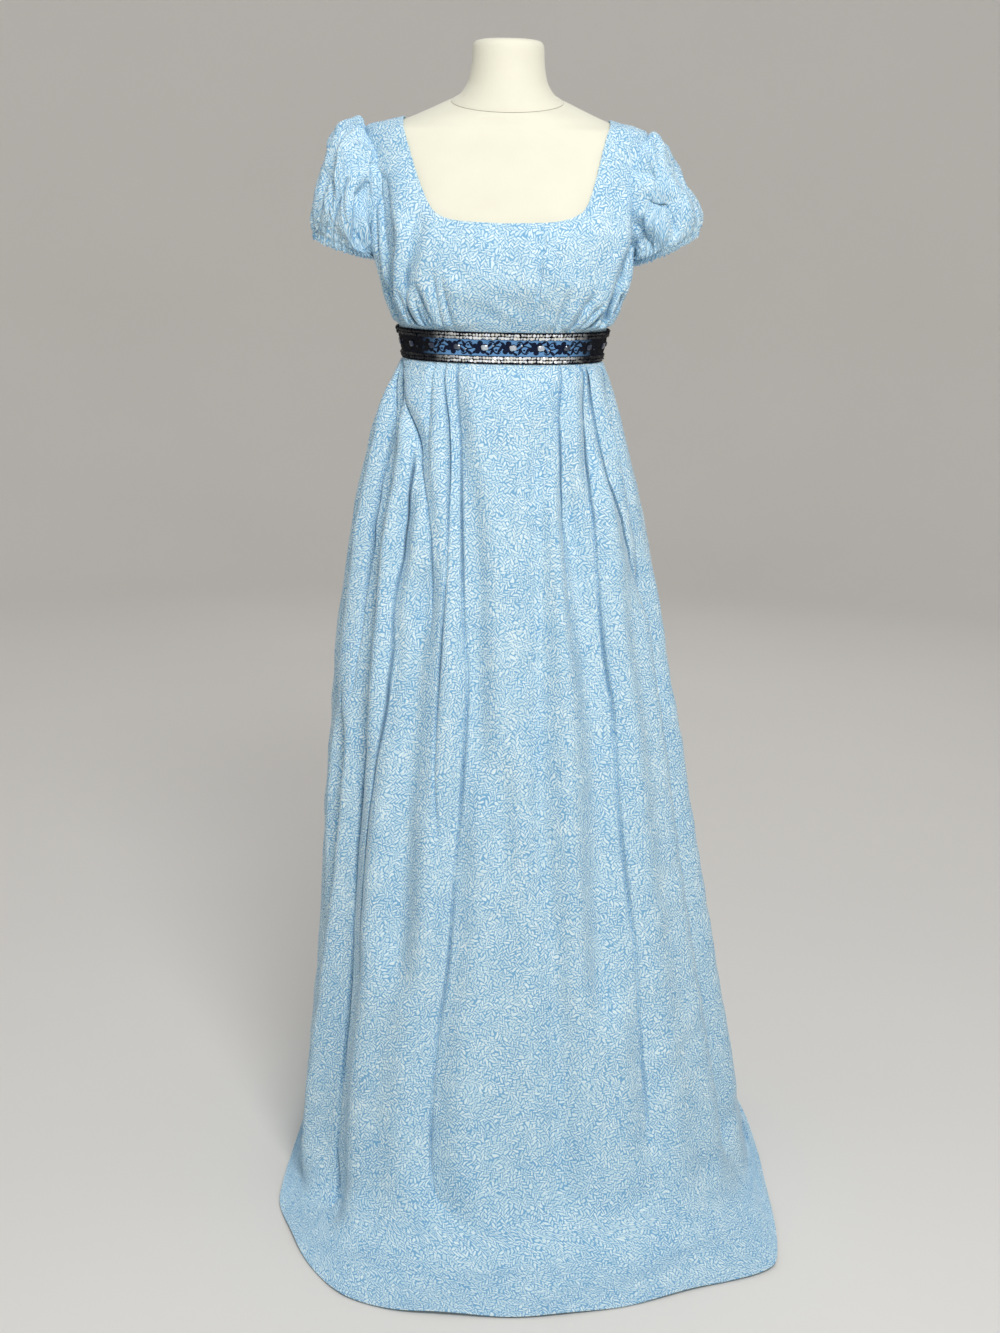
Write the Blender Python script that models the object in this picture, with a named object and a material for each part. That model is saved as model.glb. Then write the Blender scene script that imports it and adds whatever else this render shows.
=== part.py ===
"""A regency gown with a high waist, short puffed sleeves and a long skirt, standing on a limbless dress form.
Metres, +Z up, the front of the gown towards -Y. The origin is the middle of the round foot, on the floor."""

import math

import bmesh
import bpy
import numpy as np

# Driving dimensions of the gown
WALL = 0.0012
SKIRT_WALL = 0.0015
EASE = 0.0008
SEAM_GAP = 0.0003
WAIST_SEAM = 1.1670
BAND_BOTTOM, BAND_TOP = 1.1460, 1.1880
ARMHOLE_Y, ARMHOLE_Z = -0.004, 1.362
ARMHOLE_HALF_DEPTH, ARMHOLE_HALF_HEIGHT = 0.056, 0.075
BACK_NECK_Z, BACK_NECK_HALF_WIDTH, BACK_NECK_CORNER = 1.385, 0.112, 0.016
BODICE_TOP = 1.468

# Driving dimensions of the dress form
TORSO_BOTTOM = 0.745
POLE_RADIUS = 0.0125
FOOT_RADIUS, FOOT_HEIGHT = 0.185, 0.010
FOOT_BEVEL = 0.003

# Facets round each ring, in multiples of four
BODY_FACETS = 56
SKIRT_FACETS = 56
SLEEVE_FACETS = 24
NECK_FACETS = 32
TURNED_FACETS = 40
ARC_SAMPLES = 240

# Torso rings: height, half width, depth of front and back, squareness, rise of the back over the front
BODY = np.array([
    (0.745, 0.1500, 0.1050, 0.1050, 2.2, 0.0),
    (0.800, 0.1700, 0.1150, 0.1250, 2.2, 0.0),
    (0.860, 0.1720, 0.1150, 0.1300, 2.2, 0.0),
    (0.950, 0.1500, 0.1100, 0.1150, 2.2, 0.0),
    (1.030, 0.1250, 0.0980, 0.0920, 2.2, 0.0),
    (1.100, 0.1265, 0.0970, 0.0920, 2.2, 0.0),
    (1.146, 0.1300, 0.0985, 0.0930, 2.2, 0.0),
    (1.167, 0.1325, 0.1000, 0.0940, 2.2, 0.0),
    (1.188, 0.1370, 0.1070, 0.0960, 2.25, 0.0),
    (1.210, 0.1435, 0.1180, 0.0980, 2.3, 0.0),
    (1.255, 0.1570, 0.1340, 0.1010, 2.5, 0.0),
    (1.300, 0.1635, 0.1280, 0.1020, 2.9, 0.0),
    (1.350, 0.1675, 0.1040, 0.1010, 3.3, 0.0),
    (1.400, 0.1755, 0.0820, 0.0950, 3.2, 0.0),
    (1.430, 0.1815, 0.0720, 0.0830, 2.8, 0.0),
    (1.441, 0.1815, 0.0680, 0.0750, 2.5, 0.001),
    (1.454, 0.1370, 0.0640, 0.0660, 2.2, 0.004),
    (1.468, 0.1020, 0.0620, 0.0610, 2.1, 0.010),
    (1.479, 0.0755, 0.0600, 0.0580, 2.0, 0.016),
])

# Neck rings, with the same columns
NECK = np.array([
    (1.479, 0.0755, 0.0600, 0.0580, 2.0, 0.016),
    (1.488, 0.0645, 0.0560, 0.0540, 2.0, 0.011),
    (1.508, 0.0545, 0.0510, 0.0500, 2.0, 0.006),
    (1.530, 0.0510, 0.0480, 0.0480, 2.0, 0.003),
    (1.548, 0.0495, 0.0465, 0.0465, 2.0, 0.001),
    (1.555, 0.0450, 0.0420, 0.0420, 2.0, 0.0),
    (1.557, 0.0340, 0.0320, 0.0320, 2.0, 0.0),
])

# Skirt rings: height, half width to -X and to +X, depth of front and back, squareness
SKIRT = np.array([
    (1.128, 0.1440, 0.1400, 0.1100, 0.1050, 2.2),
    (1.095, 0.1580, 0.1480, 0.1210, 0.1210, 2.2),
    (1.020, 0.1810, 0.1700, 0.1360, 0.1430, 2.2),
    (0.940, 0.1960, 0.1920, 0.1530, 0.1650, 2.2),
    (0.850, 0.2090, 0.2110, 0.1700, 0.1850, 2.2),
    (0.750, 0.2220, 0.2300, 0.1880, 0.2030, 2.25),
    (0.640, 0.2280, 0.2540, 0.2090, 0.2230, 2.3),
    (0.520, 0.2370, 0.2750, 0.2310, 0.2450, 2.3),
    (0.400, 0.2420, 0.2990, 0.2510, 0.2660, 2.35),
    (0.280, 0.2470, 0.3220, 0.2710, 0.2860, 2.4),
    (0.170, 0.2530, 0.3430, 0.2890, 0.3040, 2.4),
    (0.080, 0.2590, 0.3600, 0.3070, 0.3180, 2.4),
    (0.030, 0.2645, 0.3730, 0.3300, 0.3310, 2.4),
    (0.010, 0.2680, 0.3800, 0.3540, 0.3410, 2.4),
])

# Hem where it lies on the floor: share of the way round from the centre front, x, y
HEM = np.array([
    (0.000, 0.030, -0.491),
    (0.045, 0.148, -0.468),
    (0.100, 0.274, -0.417),
    (0.150, 0.375, -0.350),
    (0.185, 0.396, -0.250),
    (0.215, 0.398, -0.130),
    (0.250, 0.397, 0.000),
    (0.300, 0.388, 0.130),
    (0.350, 0.345, 0.245),
    (0.400, 0.255, 0.325),
    (0.450, 0.135, 0.358),
    (0.500, 0.020, 0.364),
    (0.550, -0.085, 0.356),
    (0.600, -0.180, 0.318),
    (0.650, -0.243, 0.240),
    (0.700, -0.272, 0.125),
    (0.750, -0.277, 0.000),
    (0.800, -0.282, -0.110),
    (0.835, -0.284, -0.200),
    (0.870, -0.257, -0.300),
    (0.900, -0.225, -0.380),
    (0.930, -0.168, -0.456),
    (0.960, -0.084, -0.482),
])

# Steps across the part of the skirt that lies on the floor
FLOOR_STEPS = (0.25, 0.60, 1.0)

# Largest troughs of the skirt: share at the top and at the hem, half width and depth at the hem
TROUGHS = (
    (-0.172, -0.128, 0.036, 0.014),
    (-0.180, -0.150, 0.034, 0.020),
    (-0.078, -0.045, 0.040, 0.007),
    (0.103, 0.112, 0.042, 0.009),
    (0.148, 0.115, 0.040, 0.008),
    (0.200, 0.196, 0.050, 0.012),
    (-0.218, -0.205, 0.040, 0.012),
)
BACK_FOLDS_IN_QUARTER = 3
BACK_FOLD_DEPTH = 0.020

# Girth of the skirt at the top and how much it gains by the floor, and shares over which folds fade by a seam
SKIRT_GIRTH, SKIRT_GIRTH_GAIN = 0.9, 1.1
TROUGH_FADE, BACK_FOLD_FADE = 0.05, 0.042

# Sleeve rows from head to hem: x and z of the outer edge, x and z of the underarm edge, half depth
SLEEVE_TO_MINUS_X = (
    (0.1960, 1.4550, 0.1735, 1.2845, 0.064),
    (0.2190, 1.4450, 0.1730, 1.2815, 0.074),
    (0.2360, 1.4020, 0.1725, 1.2795, 0.080),
    (0.2500, 1.3580, 0.1715, 1.2775, 0.080),
    (0.2535, 1.3240, 0.1705, 1.2755, 0.072),
    (0.2500, 1.2980, 0.1690, 1.2730, 0.058),
)
SLEEVE_TO_PLUS_X = (
    (0.1950, 1.4430, 0.1735, 1.2845, 0.064),
    (0.2150, 1.4250, 0.1730, 1.2815, 0.074),
    (0.2380, 1.3920, 0.1725, 1.2795, 0.080),
    (0.2520, 1.3620, 0.1715, 1.2775, 0.080),
    (0.2590, 1.3380, 0.1705, 1.2750, 0.074),
    (0.2520, 1.3120, 0.1690, 1.2700, 0.058),
)
SLEEVE_FOLDS = 6
SLEEVE_FOLD_DEPTH = 0.0035

# Square neckline in front, above its lower edge: height, half width to -X and to +X
NECKLINE_SIDES = (
    (1.3330, 0.0850, 0.0880),
    (1.3440, 0.0970, 0.1050),
    (1.3800, 0.1130, 0.1160),
    (1.4300, 0.1300, 0.1270),
    (1.4540, 0.1360, 0.1360),
    (1.4900, 0.1380, 0.1380),
)
NECKLINE_EDGE = ((-0.064, 1.3265), (0.010, 1.3245), (0.064, 1.3270))


def material(name, colour, roughness, metallic=0.0):
    made = bpy.data.materials.new(name)
    made.use_nodes = True
    shader = made.node_tree.nodes["Principled BSDF"]
    shader.inputs["Base Color"].default_value = (*colour, 1.0)
    shader.inputs["Roughness"].default_value = roughness
    shader.inputs["Metallic"].default_value = metallic
    made.diffuse_color = (*colour, 1.0)
    return made


def new_object(name, points, faces, look):
    mesh = bpy.data.meshes.new(name)
    mesh.from_pydata([tuple(p) for p in points], [], faces)
    mesh.validate()
    mesh.shade_smooth()
    mesh.set_sharp_from_angle(angle=math.radians(40))
    mesh.materials.append(look)
    made = bpy.data.objects.new(name, mesh)
    bpy.context.scene.collection.objects.link(made)
    return made


def quarter_arc(width, depth, squareness, shares):
    """Points of a quarter of a squared ellipse, from (0, depth) to (width, 0), by share of its length."""
    angle = np.linspace(0.0, math.pi / 2, ARC_SAMPLES)
    x = width * np.sin(angle) ** (2 / squareness)
    y = depth * np.cos(angle) ** (2 / squareness)
    length = np.concatenate([[0.0], np.cumsum(np.hypot(np.diff(x), np.diff(y)))])
    return np.interp(shares, length / length[-1], x), np.interp(shares, length / length[-1], y)


def ring_points(left, right, front, back, squareness, shares):
    """Points of a closed ring. The share goes from the centre front by +X, the centre back and -X."""
    shares = np.mod(shares, 1.0)
    found = np.empty((len(shares), 2))
    for quarter, (width, depth) in enumerate(((right, front), (right, back), (left, back), (left, front))):
        inside = np.floor(shares * 4).astype(int) == quarter
        part = shares[inside] * 4 - quarter
        if quarter % 2:
            part = 1 - part
        x, y = quarter_arc(width, depth, squareness, part)
        found[inside, 0] = x if quarter < 2 else -x
        found[inside, 1] = -y if quarter in (0, 3) else y
    return found


def column(table, number, height):
    return float(np.interp(height, table[:, 0], table[:, number]))


def body_ring(height, shares, table=BODY):
    """A ring of the torso or the neck, whose back rises over its front by the last column."""
    half, front, back, squareness, rise = (column(table, n, height) for n in range(1, 6))
    flat = ring_points(half, half, front, back, squareness, shares)
    lift = rise * flat[:, 1] / np.where(flat[:, 1] < 0, front, back)
    return np.column_stack([flat, height + lift])


def body_offset(height, shares, distance):
    """A ring of the torso, moved out along the surface normal."""
    step = 0.002
    low = max(height - step, BODY[0, 0])
    high = min(height + step, BODY[-1, 0])
    upward = body_ring(high, shares) - body_ring(low, shares)
    along = body_ring(height, shares + step) - body_ring(height, shares - step)
    outward = np.cross(along, upward)
    outward /= np.linalg.norm(outward, axis=1)[:, None]
    return body_ring(height, shares) + outward * distance


def body_x(y, z):
    """Half width of the torso at a place on its side."""
    half, front, back, squareness = (column(BODY, n, z) for n in range(1, 5))
    depth = front if y < 0 else back
    return half * (1 - abs(y / depth) ** squareness) ** (1 / squareness)


def around(count):
    return np.arange(count) / count


def grid_faces(rows, columns, closed):
    """Triangles between rows of points, facing out where the rows go up and the columns run from front to +X.
    All share one diagonal, so that a wall and the form under it stay parallel."""
    faces = []
    for row in range(rows - 1):
        for place in range(columns if closed else columns - 1):
            beside = (place + 1) % columns
            low, high = row * columns, (row + 1) * columns
            faces.append((low + place, low + beside, high + beside))
            faces.append((low + place, high + beside, high + place))
    return faces


def lofted_solid(name, rings, look):
    """A solid between a lowest and a highest ring, with flat ends."""
    count = len(rings[0])
    faces = grid_faces(len(rings), count, True)
    faces.append(tuple(reversed(range(count))))
    faces.append(tuple(range((len(rings) - 1) * count, len(rings) * count)))
    return new_object(name, np.concatenate(rings), faces, look)


def cloth(name, rings, closed, wall, look):
    """A wall of cloth whose outer face is the surface through the rings, given from the lowest up."""
    made = new_object(name, np.concatenate(rings), grid_faces(len(rings), len(rings[0]), closed), look)
    thickness = made.modifiers.new("wall", "SOLIDIFY")
    thickness.thickness = wall
    thickness.offset = -1.0
    return made


def cutter(name, outline, start, end, axis):
    """A prism that cuts: its outline lies across the axis, from start to end along it."""
    points = []
    for distance in (start, end):
        for across, up in outline:
            points.append((across, distance, up) if axis == "Y" else (distance, across, up))
    count = len(outline)
    faces = [tuple(range(count)), tuple(reversed(range(count, 2 * count)))]
    for place in range(count):
        beside = (place + 1) % count
        faces.append((place, count + place, count + beside, beside))
    mesh = bpy.data.meshes.new(name)
    mesh.from_pydata(points, [], faces)
    shape = bmesh.new()
    shape.from_mesh(mesh)
    bmesh.ops.recalc_face_normals(shape, faces=shape.faces)
    shape.to_mesh(mesh)
    shape.free()
    made = bpy.data.objects.new(name, mesh)
    made.hide_render = True
    made.display_type = "WIRE"
    bpy.context.scene.collection.objects.link(made)
    return made


def cut(piece, tool, operation="DIFFERENCE"):
    boolean = piece.modifiers.new(tool.name, "BOOLEAN")
    boolean.object = tool
    boolean.operation = operation


def rectangle(low, high, bottom, top):
    return [(low, bottom), (high, bottom), (high, top), (low, top)]


def make_form():
    jersey = material("cream jersey", (0.86, 0.82, 0.71), 0.85)
    steel = material("painted steel", (0.72, 0.71, 0.69), 0.4, 0.6)
    shares = around(BODY_FACETS)
    lofted_solid("form_torso", [body_ring(z, shares) for z in BODY[:, 0]], jersey)

    neck = [body_ring(z, around(NECK_FACETS), NECK) for z in NECK[:, 0]]
    neck[0][:, 2] += SEAM_GAP
    lofted_solid("form_neck", neck, jersey)

    bottom, top = FOOT_HEIGHT + SEAM_GAP, TORSO_BOTTOM - SEAM_GAP
    turned("form_pole", POLE_RADIUS, bottom, top, steel)
    foot = turned("form_base", FOOT_RADIUS, 0.0, FOOT_HEIGHT, steel)
    round_edge = foot.modifiers.new("edge", "BEVEL")
    round_edge.width = FOOT_BEVEL
    round_edge.segments = 2
    round_edge.limit_method = "ANGLE"


def turned(name, radius, bottom, top, look):
    angle = 2 * math.pi * around(TURNED_FACETS)
    x, y = radius * np.sin(angle), -radius * np.cos(angle)
    rings = [np.column_stack([x, y, np.full(len(angle), height)]) for height in (bottom, top)]
    return lofted_solid(name, rings, look)


def front_neckline():
    outline = [(-left, z) for z, left, _ in reversed(NECKLINE_SIDES)]
    outline.extend(NECKLINE_EDGE)
    outline.extend((right, z) for z, _, right in NECKLINE_SIDES)
    return outline


def back_neckline():
    half = BACK_NECK_HALF_WIDTH
    corner = BACK_NECK_CORNER
    right = [(0.0, BACK_NECK_Z), (half - corner, BACK_NECK_Z + corner / 8), (half, BACK_NECK_Z + corner)]
    right += [(half_width, z) for z, _, half_width in NECKLINE_SIDES[-2:]]
    return [(-x, z) for x, z in reversed(right[1:])] + right


def armhole():
    angle = 2 * math.pi * around(SLEEVE_FACETS)
    across = ARMHOLE_Y + ARMHOLE_HALF_DEPTH * np.cos(angle)
    up = ARMHOLE_Z + ARMHOLE_HALF_HEIGHT * np.sin(angle)
    return list(zip(across, up))


def make_bodice(cotton):
    far, near = 0.4, 0.13
    seam = SEAM_GAP / 2
    heights = [WAIST_SEAM] + [z for z in BODY[:, 0] if WAIST_SEAM < z <= BODICE_TOP]
    shares = around(BODY_FACETS)
    rings = [body_offset(z, shares, EASE + WALL) for z in heights]

    neck_front = cutter("neckline front", front_neckline(), -far, 0.0, "Y")
    neck_back = cutter("neckline back", back_neckline(), 0.0, far, "Y")
    arm_plus = cutter("armhole at +X", armhole(), near, far, "X")
    arm_minus = cutter("armhole at -X", armhole(), -far, -near, "X")
    ahead = cutter("front half", rectangle(-far, far, 1.0, 1.6), -far, -seam, "Y")
    behind_plus = cutter("back half at +X", rectangle(seam, far, 1.0, 1.6), seam, far, "Y")
    behind_minus = cutter("back half at -X", rectangle(-far, -seam, 1.0, 1.6), seam, far, "Y")

    for name, neck, half in (
        ("bodice_front", neck_front, ahead),
        ("bodice_back_left", neck_back, behind_plus),
        ("bodice_back_right", neck_back, behind_minus),
    ):
        piece = cloth(name, rings, True, WALL, cotton)
        for tool in (neck, arm_plus, arm_minus):
            cut(piece, tool)
        cut(piece, half, "INTERSECT")


def make_band(trim):
    """The band lies on the bodice and the skirt, over the seam under the bust."""
    inner = EASE + WALL + SEAM_GAP
    rings = [body_offset(z, around(BODY_FACETS), inner + WALL) for z in (BAND_BOTTOM, WAIST_SEAM, BAND_TOP)]
    cloth("band", rings, True, WALL, trim)


def sleeve_rings(side, rows):
    """Rings of a puffed sleeve, from the armhole on the bodice out and down to the hem."""
    angle = 2 * math.pi * around(SLEEVE_FACETS)
    across, up = np.cos(angle), np.sin(angle)
    reach = EASE + WALL + 2 * SEAM_GAP
    first = []
    for y, z in armhole():
        first.append((side * (body_x(y, z) + reach), y, z))
    rings = [np.array(first)]
    for number, (top_x, top_z, under_x, under_z, half_depth) in enumerate(rows):
        fullness = math.sin(math.pi * (number + 1) / (len(rows) + 1))
        wave = 1 + SLEEVE_FOLD_DEPTH / half_depth * fullness * np.cos(SLEEVE_FOLDS * angle)
        x = (top_x + under_x) / 2 + (top_x - under_x) / 2 * up * wave
        z = (top_z + under_z) / 2 + (top_z - under_z) / 2 * up * wave
        y = ARMHOLE_Y + half_depth * across * wave
        rings.append(np.column_stack([side * x, y, z]))
    return rings


def make_sleeves(cotton):
    for name, side, rows in (("sleeve_left", 1, SLEEVE_TO_PLUS_X), ("sleeve_right", -1, SLEEVE_TO_MINUS_X)):
        rings = sleeve_rings(side, rows)
        if side < 0:
            rings = rings[::-1]
        cloth(name, rings, True, WALL, cotton)


def trough_push(shares, drop):
    """How far the skirt goes in at each share, where drop is 0 at the top and 1 at the floor."""
    push = np.zeros(len(shares))
    turn = np.mod(shares + 0.5, 1.0) - 0.5
    girth = SKIRT_GIRTH + SKIRT_GIRTH_GAIN * drop
    for top_share, hem_share, half_width, depth in TROUGHS:
        middle = top_share + (hem_share - top_share) * math.sqrt(drop)
        away = (turn - middle) * girth / (half_width * (1 + drop) / 2)
        push += depth * min(1.0, 2.5 * drop) * np.exp(-away ** 2)
    from_side_seam = np.abs(np.abs(turn) - 0.25)
    push *= np.minimum(1.0, from_side_seam / TROUGH_FADE)
    behind = np.abs(turn) > 0.25
    from_seam = np.minimum(from_side_seam, 0.5 - np.abs(turn))
    wave = 0.5 - 0.5 * np.cos(8 * math.pi * BACK_FOLDS_IN_QUARTER * shares)
    depth = BACK_FOLD_DEPTH * min(1.0, 1.6 * drop)
    return push + depth * wave * np.minimum(1.0, from_seam / BACK_FOLD_FADE) * behind


def skirt_ring(height, shares):
    left, right, front, back, squareness = (column(SKIRT[::-1], n, height) for n in range(1, 6))
    flat = ring_points(left, right, front, back, squareness, shares)
    step = 0.002
    along = ring_points(left, right, front, back, squareness, shares + step)
    along -= ring_points(left, right, front, back, squareness, shares - step)
    outward = np.column_stack([along[:, 1], -along[:, 0]]) / np.linalg.norm(along, axis=1)[:, None]
    drop = 1 - height / SKIRT[0, 0]
    flat -= outward * trough_push(shares, drop)[:, None]
    return np.column_stack([flat, np.full(len(shares), height)])


def skirt_rings(shares):
    """Rings of the skirt from the hem on the floor up to the seam under the bust."""
    standing = [skirt_ring(z, shares) for z in SKIRT[::-1, 0]]
    lowest = standing[0][:, :2]
    turn = np.mod(shares, 1.0)
    hem = np.column_stack([np.interp(turn, HEM[:, 0], HEM[:, n], period=1.0) for n in (1, 2)])
    lying = []
    for step in reversed(FLOOR_STEPS):
        flat = lowest + (hem - lowest) * step
        lying.append(np.column_stack([flat, np.full(len(shares), SKIRT_WALL)]))
    gathered = [body_offset(z, shares, EASE + WALL) for z in (BAND_BOTTOM, WAIST_SEAM - SEAM_GAP)]
    return lying + standing + gathered


def make_skirt(cotton):
    quarter = SKIRT_FACETS // 4
    edge = SEAM_GAP / 2 / SKIRT_GIRTH
    for name, start, end, facets in (
        ("skirt_front", -0.25, 0.25, 2 * quarter),
        ("skirt_back_left", 0.25, 0.5, quarter),
        ("skirt_back_right", 0.5, 0.75, quarter),
    ):
        shares = np.linspace(start, end, facets + 1)
        shares[0] += edge
        shares[-1] -= edge
        cloth(name, skirt_rings(shares), False, SKIRT_WALL, cotton)


def main():
    for old in list(bpy.data.objects):
        bpy.data.objects.remove(old)
    cotton = material("printed cotton", (0.62, 0.76, 0.86), 0.8)
    trim = material("embroidered band", (0.05, 0.07, 0.16), 0.6)
    make_form()
    make_bodice(cotton)
    make_band(trim)
    make_sleeves(cotton)
    make_skirt(cotton)


main()
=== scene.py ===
import math
import random

import bmesh
import bpy
import numpy as np
from mathutils import Matrix, Vector


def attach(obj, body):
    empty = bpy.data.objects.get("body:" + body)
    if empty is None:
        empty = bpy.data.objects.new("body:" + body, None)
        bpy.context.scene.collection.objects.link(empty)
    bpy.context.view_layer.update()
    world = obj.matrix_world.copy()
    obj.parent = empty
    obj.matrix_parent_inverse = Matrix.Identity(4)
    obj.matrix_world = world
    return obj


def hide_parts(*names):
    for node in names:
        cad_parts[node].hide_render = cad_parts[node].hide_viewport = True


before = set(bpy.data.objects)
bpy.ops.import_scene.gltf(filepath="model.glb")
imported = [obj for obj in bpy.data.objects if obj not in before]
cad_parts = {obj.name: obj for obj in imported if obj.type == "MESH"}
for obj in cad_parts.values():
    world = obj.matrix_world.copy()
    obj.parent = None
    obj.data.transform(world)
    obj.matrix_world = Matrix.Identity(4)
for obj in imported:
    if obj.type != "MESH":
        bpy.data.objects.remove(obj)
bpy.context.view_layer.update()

bpy.ops.object.select_all(action="DESELECT")
print("frame loaded:", len(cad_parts), "CAD nodes")

# The whole gown is built in metres over one body, in quarters round it: 0 is the centre front,
# 1 the side at +X, 2 the centre back and -1 the side at -X.
gown = {
    "ease": 0.0028,               # from the form to the outside of the fitted cloth
    "cottonThickness": 0.0009,
    "waistSeam": 1.1670,
    "bandBottom": 1.1460,
    "bandTop": 1.1880,
    "armholeY": -0.004,
    "armholeZ": 1.362,
    "armholeHalfDepth": 0.056,
    "armholeHalfHeight": 0.075,
}

# height, half width, depth in front, depth behind, squareness, rise of the back over the front
bodyRings = np.array([
    (0.745, 0.1500, 0.1050, 0.1050, 2.2, 0.0), (0.800, 0.1700, 0.1150, 0.1250, 2.2, 0.0),
    (0.860, 0.1720, 0.1150, 0.1300, 2.2, 0.0), (0.950, 0.1500, 0.1100, 0.1150, 2.2, 0.0),
    (1.030, 0.1250, 0.0980, 0.0920, 2.2, 0.0), (1.100, 0.1265, 0.0970, 0.0920, 2.2, 0.0),
    (1.146, 0.1300, 0.0985, 0.0930, 2.2, 0.0), (1.167, 0.1325, 0.1000, 0.0940, 2.2, 0.0),
    (1.188, 0.1370, 0.1070, 0.0960, 2.25, 0.0), (1.210, 0.1435, 0.1180, 0.0980, 2.3, 0.0),
    (1.255, 0.1570, 0.1340, 0.1010, 2.5, 0.0), (1.300, 0.1635, 0.1280, 0.1020, 2.9, 0.0),
    (1.350, 0.1675, 0.1040, 0.1010, 3.3, 0.0), (1.400, 0.1755, 0.0820, 0.0950, 3.2, 0.0),
    (1.430, 0.1815, 0.0720, 0.0830, 2.8, 0.0), (1.441, 0.1815, 0.0680, 0.0750, 2.5, 0.001),
    (1.454, 0.1370, 0.0640, 0.0660, 2.2, 0.004), (1.468, 0.1020, 0.0620, 0.0610, 2.1, 0.010),
    (1.479, 0.0755, 0.0600, 0.0580, 2.0, 0.016),
])
neckRings = np.array([
    (1.479, 0.0755, 0.0600, 0.0580, 2.0, 0.016), (1.488, 0.0620, 0.0560, 0.0540, 2.0, 0.011),
    (1.508, 0.0510, 0.0510, 0.0500, 2.0, 0.006), (1.530, 0.0475, 0.0480, 0.0480, 2.0, 0.003),
    (1.548, 0.0465, 0.0465, 0.0465, 2.0, 0.001), (1.555, 0.0425, 0.0420, 0.0420, 2.0, 0.0),
    (1.557, 0.0340, 0.0320, 0.0320, 2.0, 0.0),
])


# curves, rings and folds that the pieces share
def smoothAt(places, values, at):
    # a smooth curve through the points that never swings past them
    places, values = np.asarray(places, float), np.asarray(values, float)
    flat = values.reshape(len(places), -1)
    step = np.diff(places)
    slope = np.diff(flat, axis=0) / step[:, None]
    grade = np.zeros_like(flat)
    same = slope[:-1] * slope[1:] > 0
    before, after = 2 * step[1:] + step[:-1], step[1:] + 2 * step[:-1]
    low, high = np.where(same, slope[:-1], 1.0), np.where(same, slope[1:], 1.0)
    grade[1:-1] = np.where(same, (before + after)[:, None] / (before[:, None] / low + after[:, None] / high), 0.0)
    grade[0], grade[-1] = slope[0], slope[-1]
    at = np.clip(np.atleast_1d(np.asarray(at, float)), places[0], places[-1])
    cell = np.clip(np.searchsorted(places, at, side="right") - 1, 0, len(places) - 2)
    part = ((at - places[cell]) / step[cell])[:, None]
    width = step[cell][:, None]
    found = ((1 + 2 * part) * (1 - part) ** 2 * flat[cell] + part * (1 - part) ** 2 * width * grade[cell]
             + part ** 2 * (3 - 2 * part) * flat[cell + 1] + part ** 2 * (part - 1) * width * grade[cell + 1])
    return found.reshape((len(at),) + values.shape[1:])


def smoothStep(start, end, value):
    part = np.clip((np.asarray(value, float) - start) / (end - start), 0.0, 1.0)
    return part * part * (3 - 2 * part)


def ringPoints(left, right, front, back, squareness, quarters):
    # a squared oval, walked evenly by length within each quarter
    quarters = (np.asarray(quarters, float) + 2) % 4 - 2
    ahead = np.abs(quarters) <= 1
    part = np.where(ahead, np.abs(quarters), 2 - np.abs(quarters))
    angle = np.linspace(0.0, math.pi / 2, 500)
    found = np.empty((len(quarters), 2))
    for side, width in ((1, right), (-1, left)):
        for facing, depth in ((-1, front), (1, back)):
            chosen = ((quarters >= 0) == (side > 0)) & (ahead == (facing < 0))
            x = width * np.sin(angle) ** (2 / squareness)
            y = depth * np.cos(angle) ** (2 / squareness)
            length = np.concatenate([[0.0], np.cumsum(np.hypot(np.diff(x), np.diff(y)))])
            found[chosen, 0] = side * np.interp(part[chosen], length / length[-1], x)
            found[chosen, 1] = facing * np.interp(part[chosen], length / length[-1], y)
    return found


def bodyRing(height, quarters, table=bodyRings):
    half, front, back, squareness, rise = smoothAt(table[:, 0], table[:, 1:], height)[0]
    flat = ringPoints(half, half, front, back, squareness, quarters)
    lift = rise * flat[:, 1] / np.where(flat[:, 1] < 0, front, back)
    return np.column_stack([flat, height + lift])


def bodyOffset(height, quarters, distance):
    step = 0.002
    low, high = max(height - step, bodyRings[0, 0]), min(height + step, bodyRings[-1, 0])
    upward = bodyRing(high, quarters) - bodyRing(low, quarters)
    along = bodyRing(height, quarters + 4 * step) - bodyRing(height, quarters - 4 * step)
    outward = np.cross(along, upward)
    outward /= np.linalg.norm(outward, axis=1)[:, None]
    return bodyRing(height, quarters) + outward * distance


def gridNormals(points):
    # rows run down and columns towards +X in front, so this points outwards
    normal = np.cross(np.gradient(points, axis=0), np.gradient(points, axis=1))
    return normal / np.maximum(np.linalg.norm(normal, axis=2), 1e-9)[:, :, None]


def rowLengths(points):
    step = np.linalg.norm(np.diff(points, axis=1), axis=2)
    return np.concatenate([np.zeros((len(points), 1)), np.cumsum(step, axis=1)], axis=1)


def columnLengths(points):
    step = np.linalg.norm(np.diff(points, axis=0), axis=2)
    return np.concatenate([np.zeros((1, points.shape[1])), np.cumsum(step, axis=0)], axis=0)


def ripples(across, down, size, seed, count=9):
    # soft uneven waves, about size apart
    draw = random.Random(seed)
    total = np.zeros(np.broadcast(across, down).shape)
    for _ in range(count):
        turn, pitch = draw.uniform(0, math.pi), 2 * math.pi / (size * draw.uniform(0.7, 1.6))
        total += np.sin(pitch * (across * math.cos(turn) + down * math.sin(turn)) + draw.uniform(0, 2 * math.pi))
    return total / math.sqrt(count)


def turnAway(quarter):
    # how far a fold leans for each metre that it goes in, so that it runs straight back from the front or the back
    quarter = np.atleast_1d(quarter)[:, None]
    ahead = np.where(np.abs(quarter) <= 1, quarter, -np.sign(quarter) * (2 - np.abs(quarter)))
    return np.clip(np.tan(np.clip(ahead, -1, 1) * math.radians(62)), -0.85, 0.85)


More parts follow.
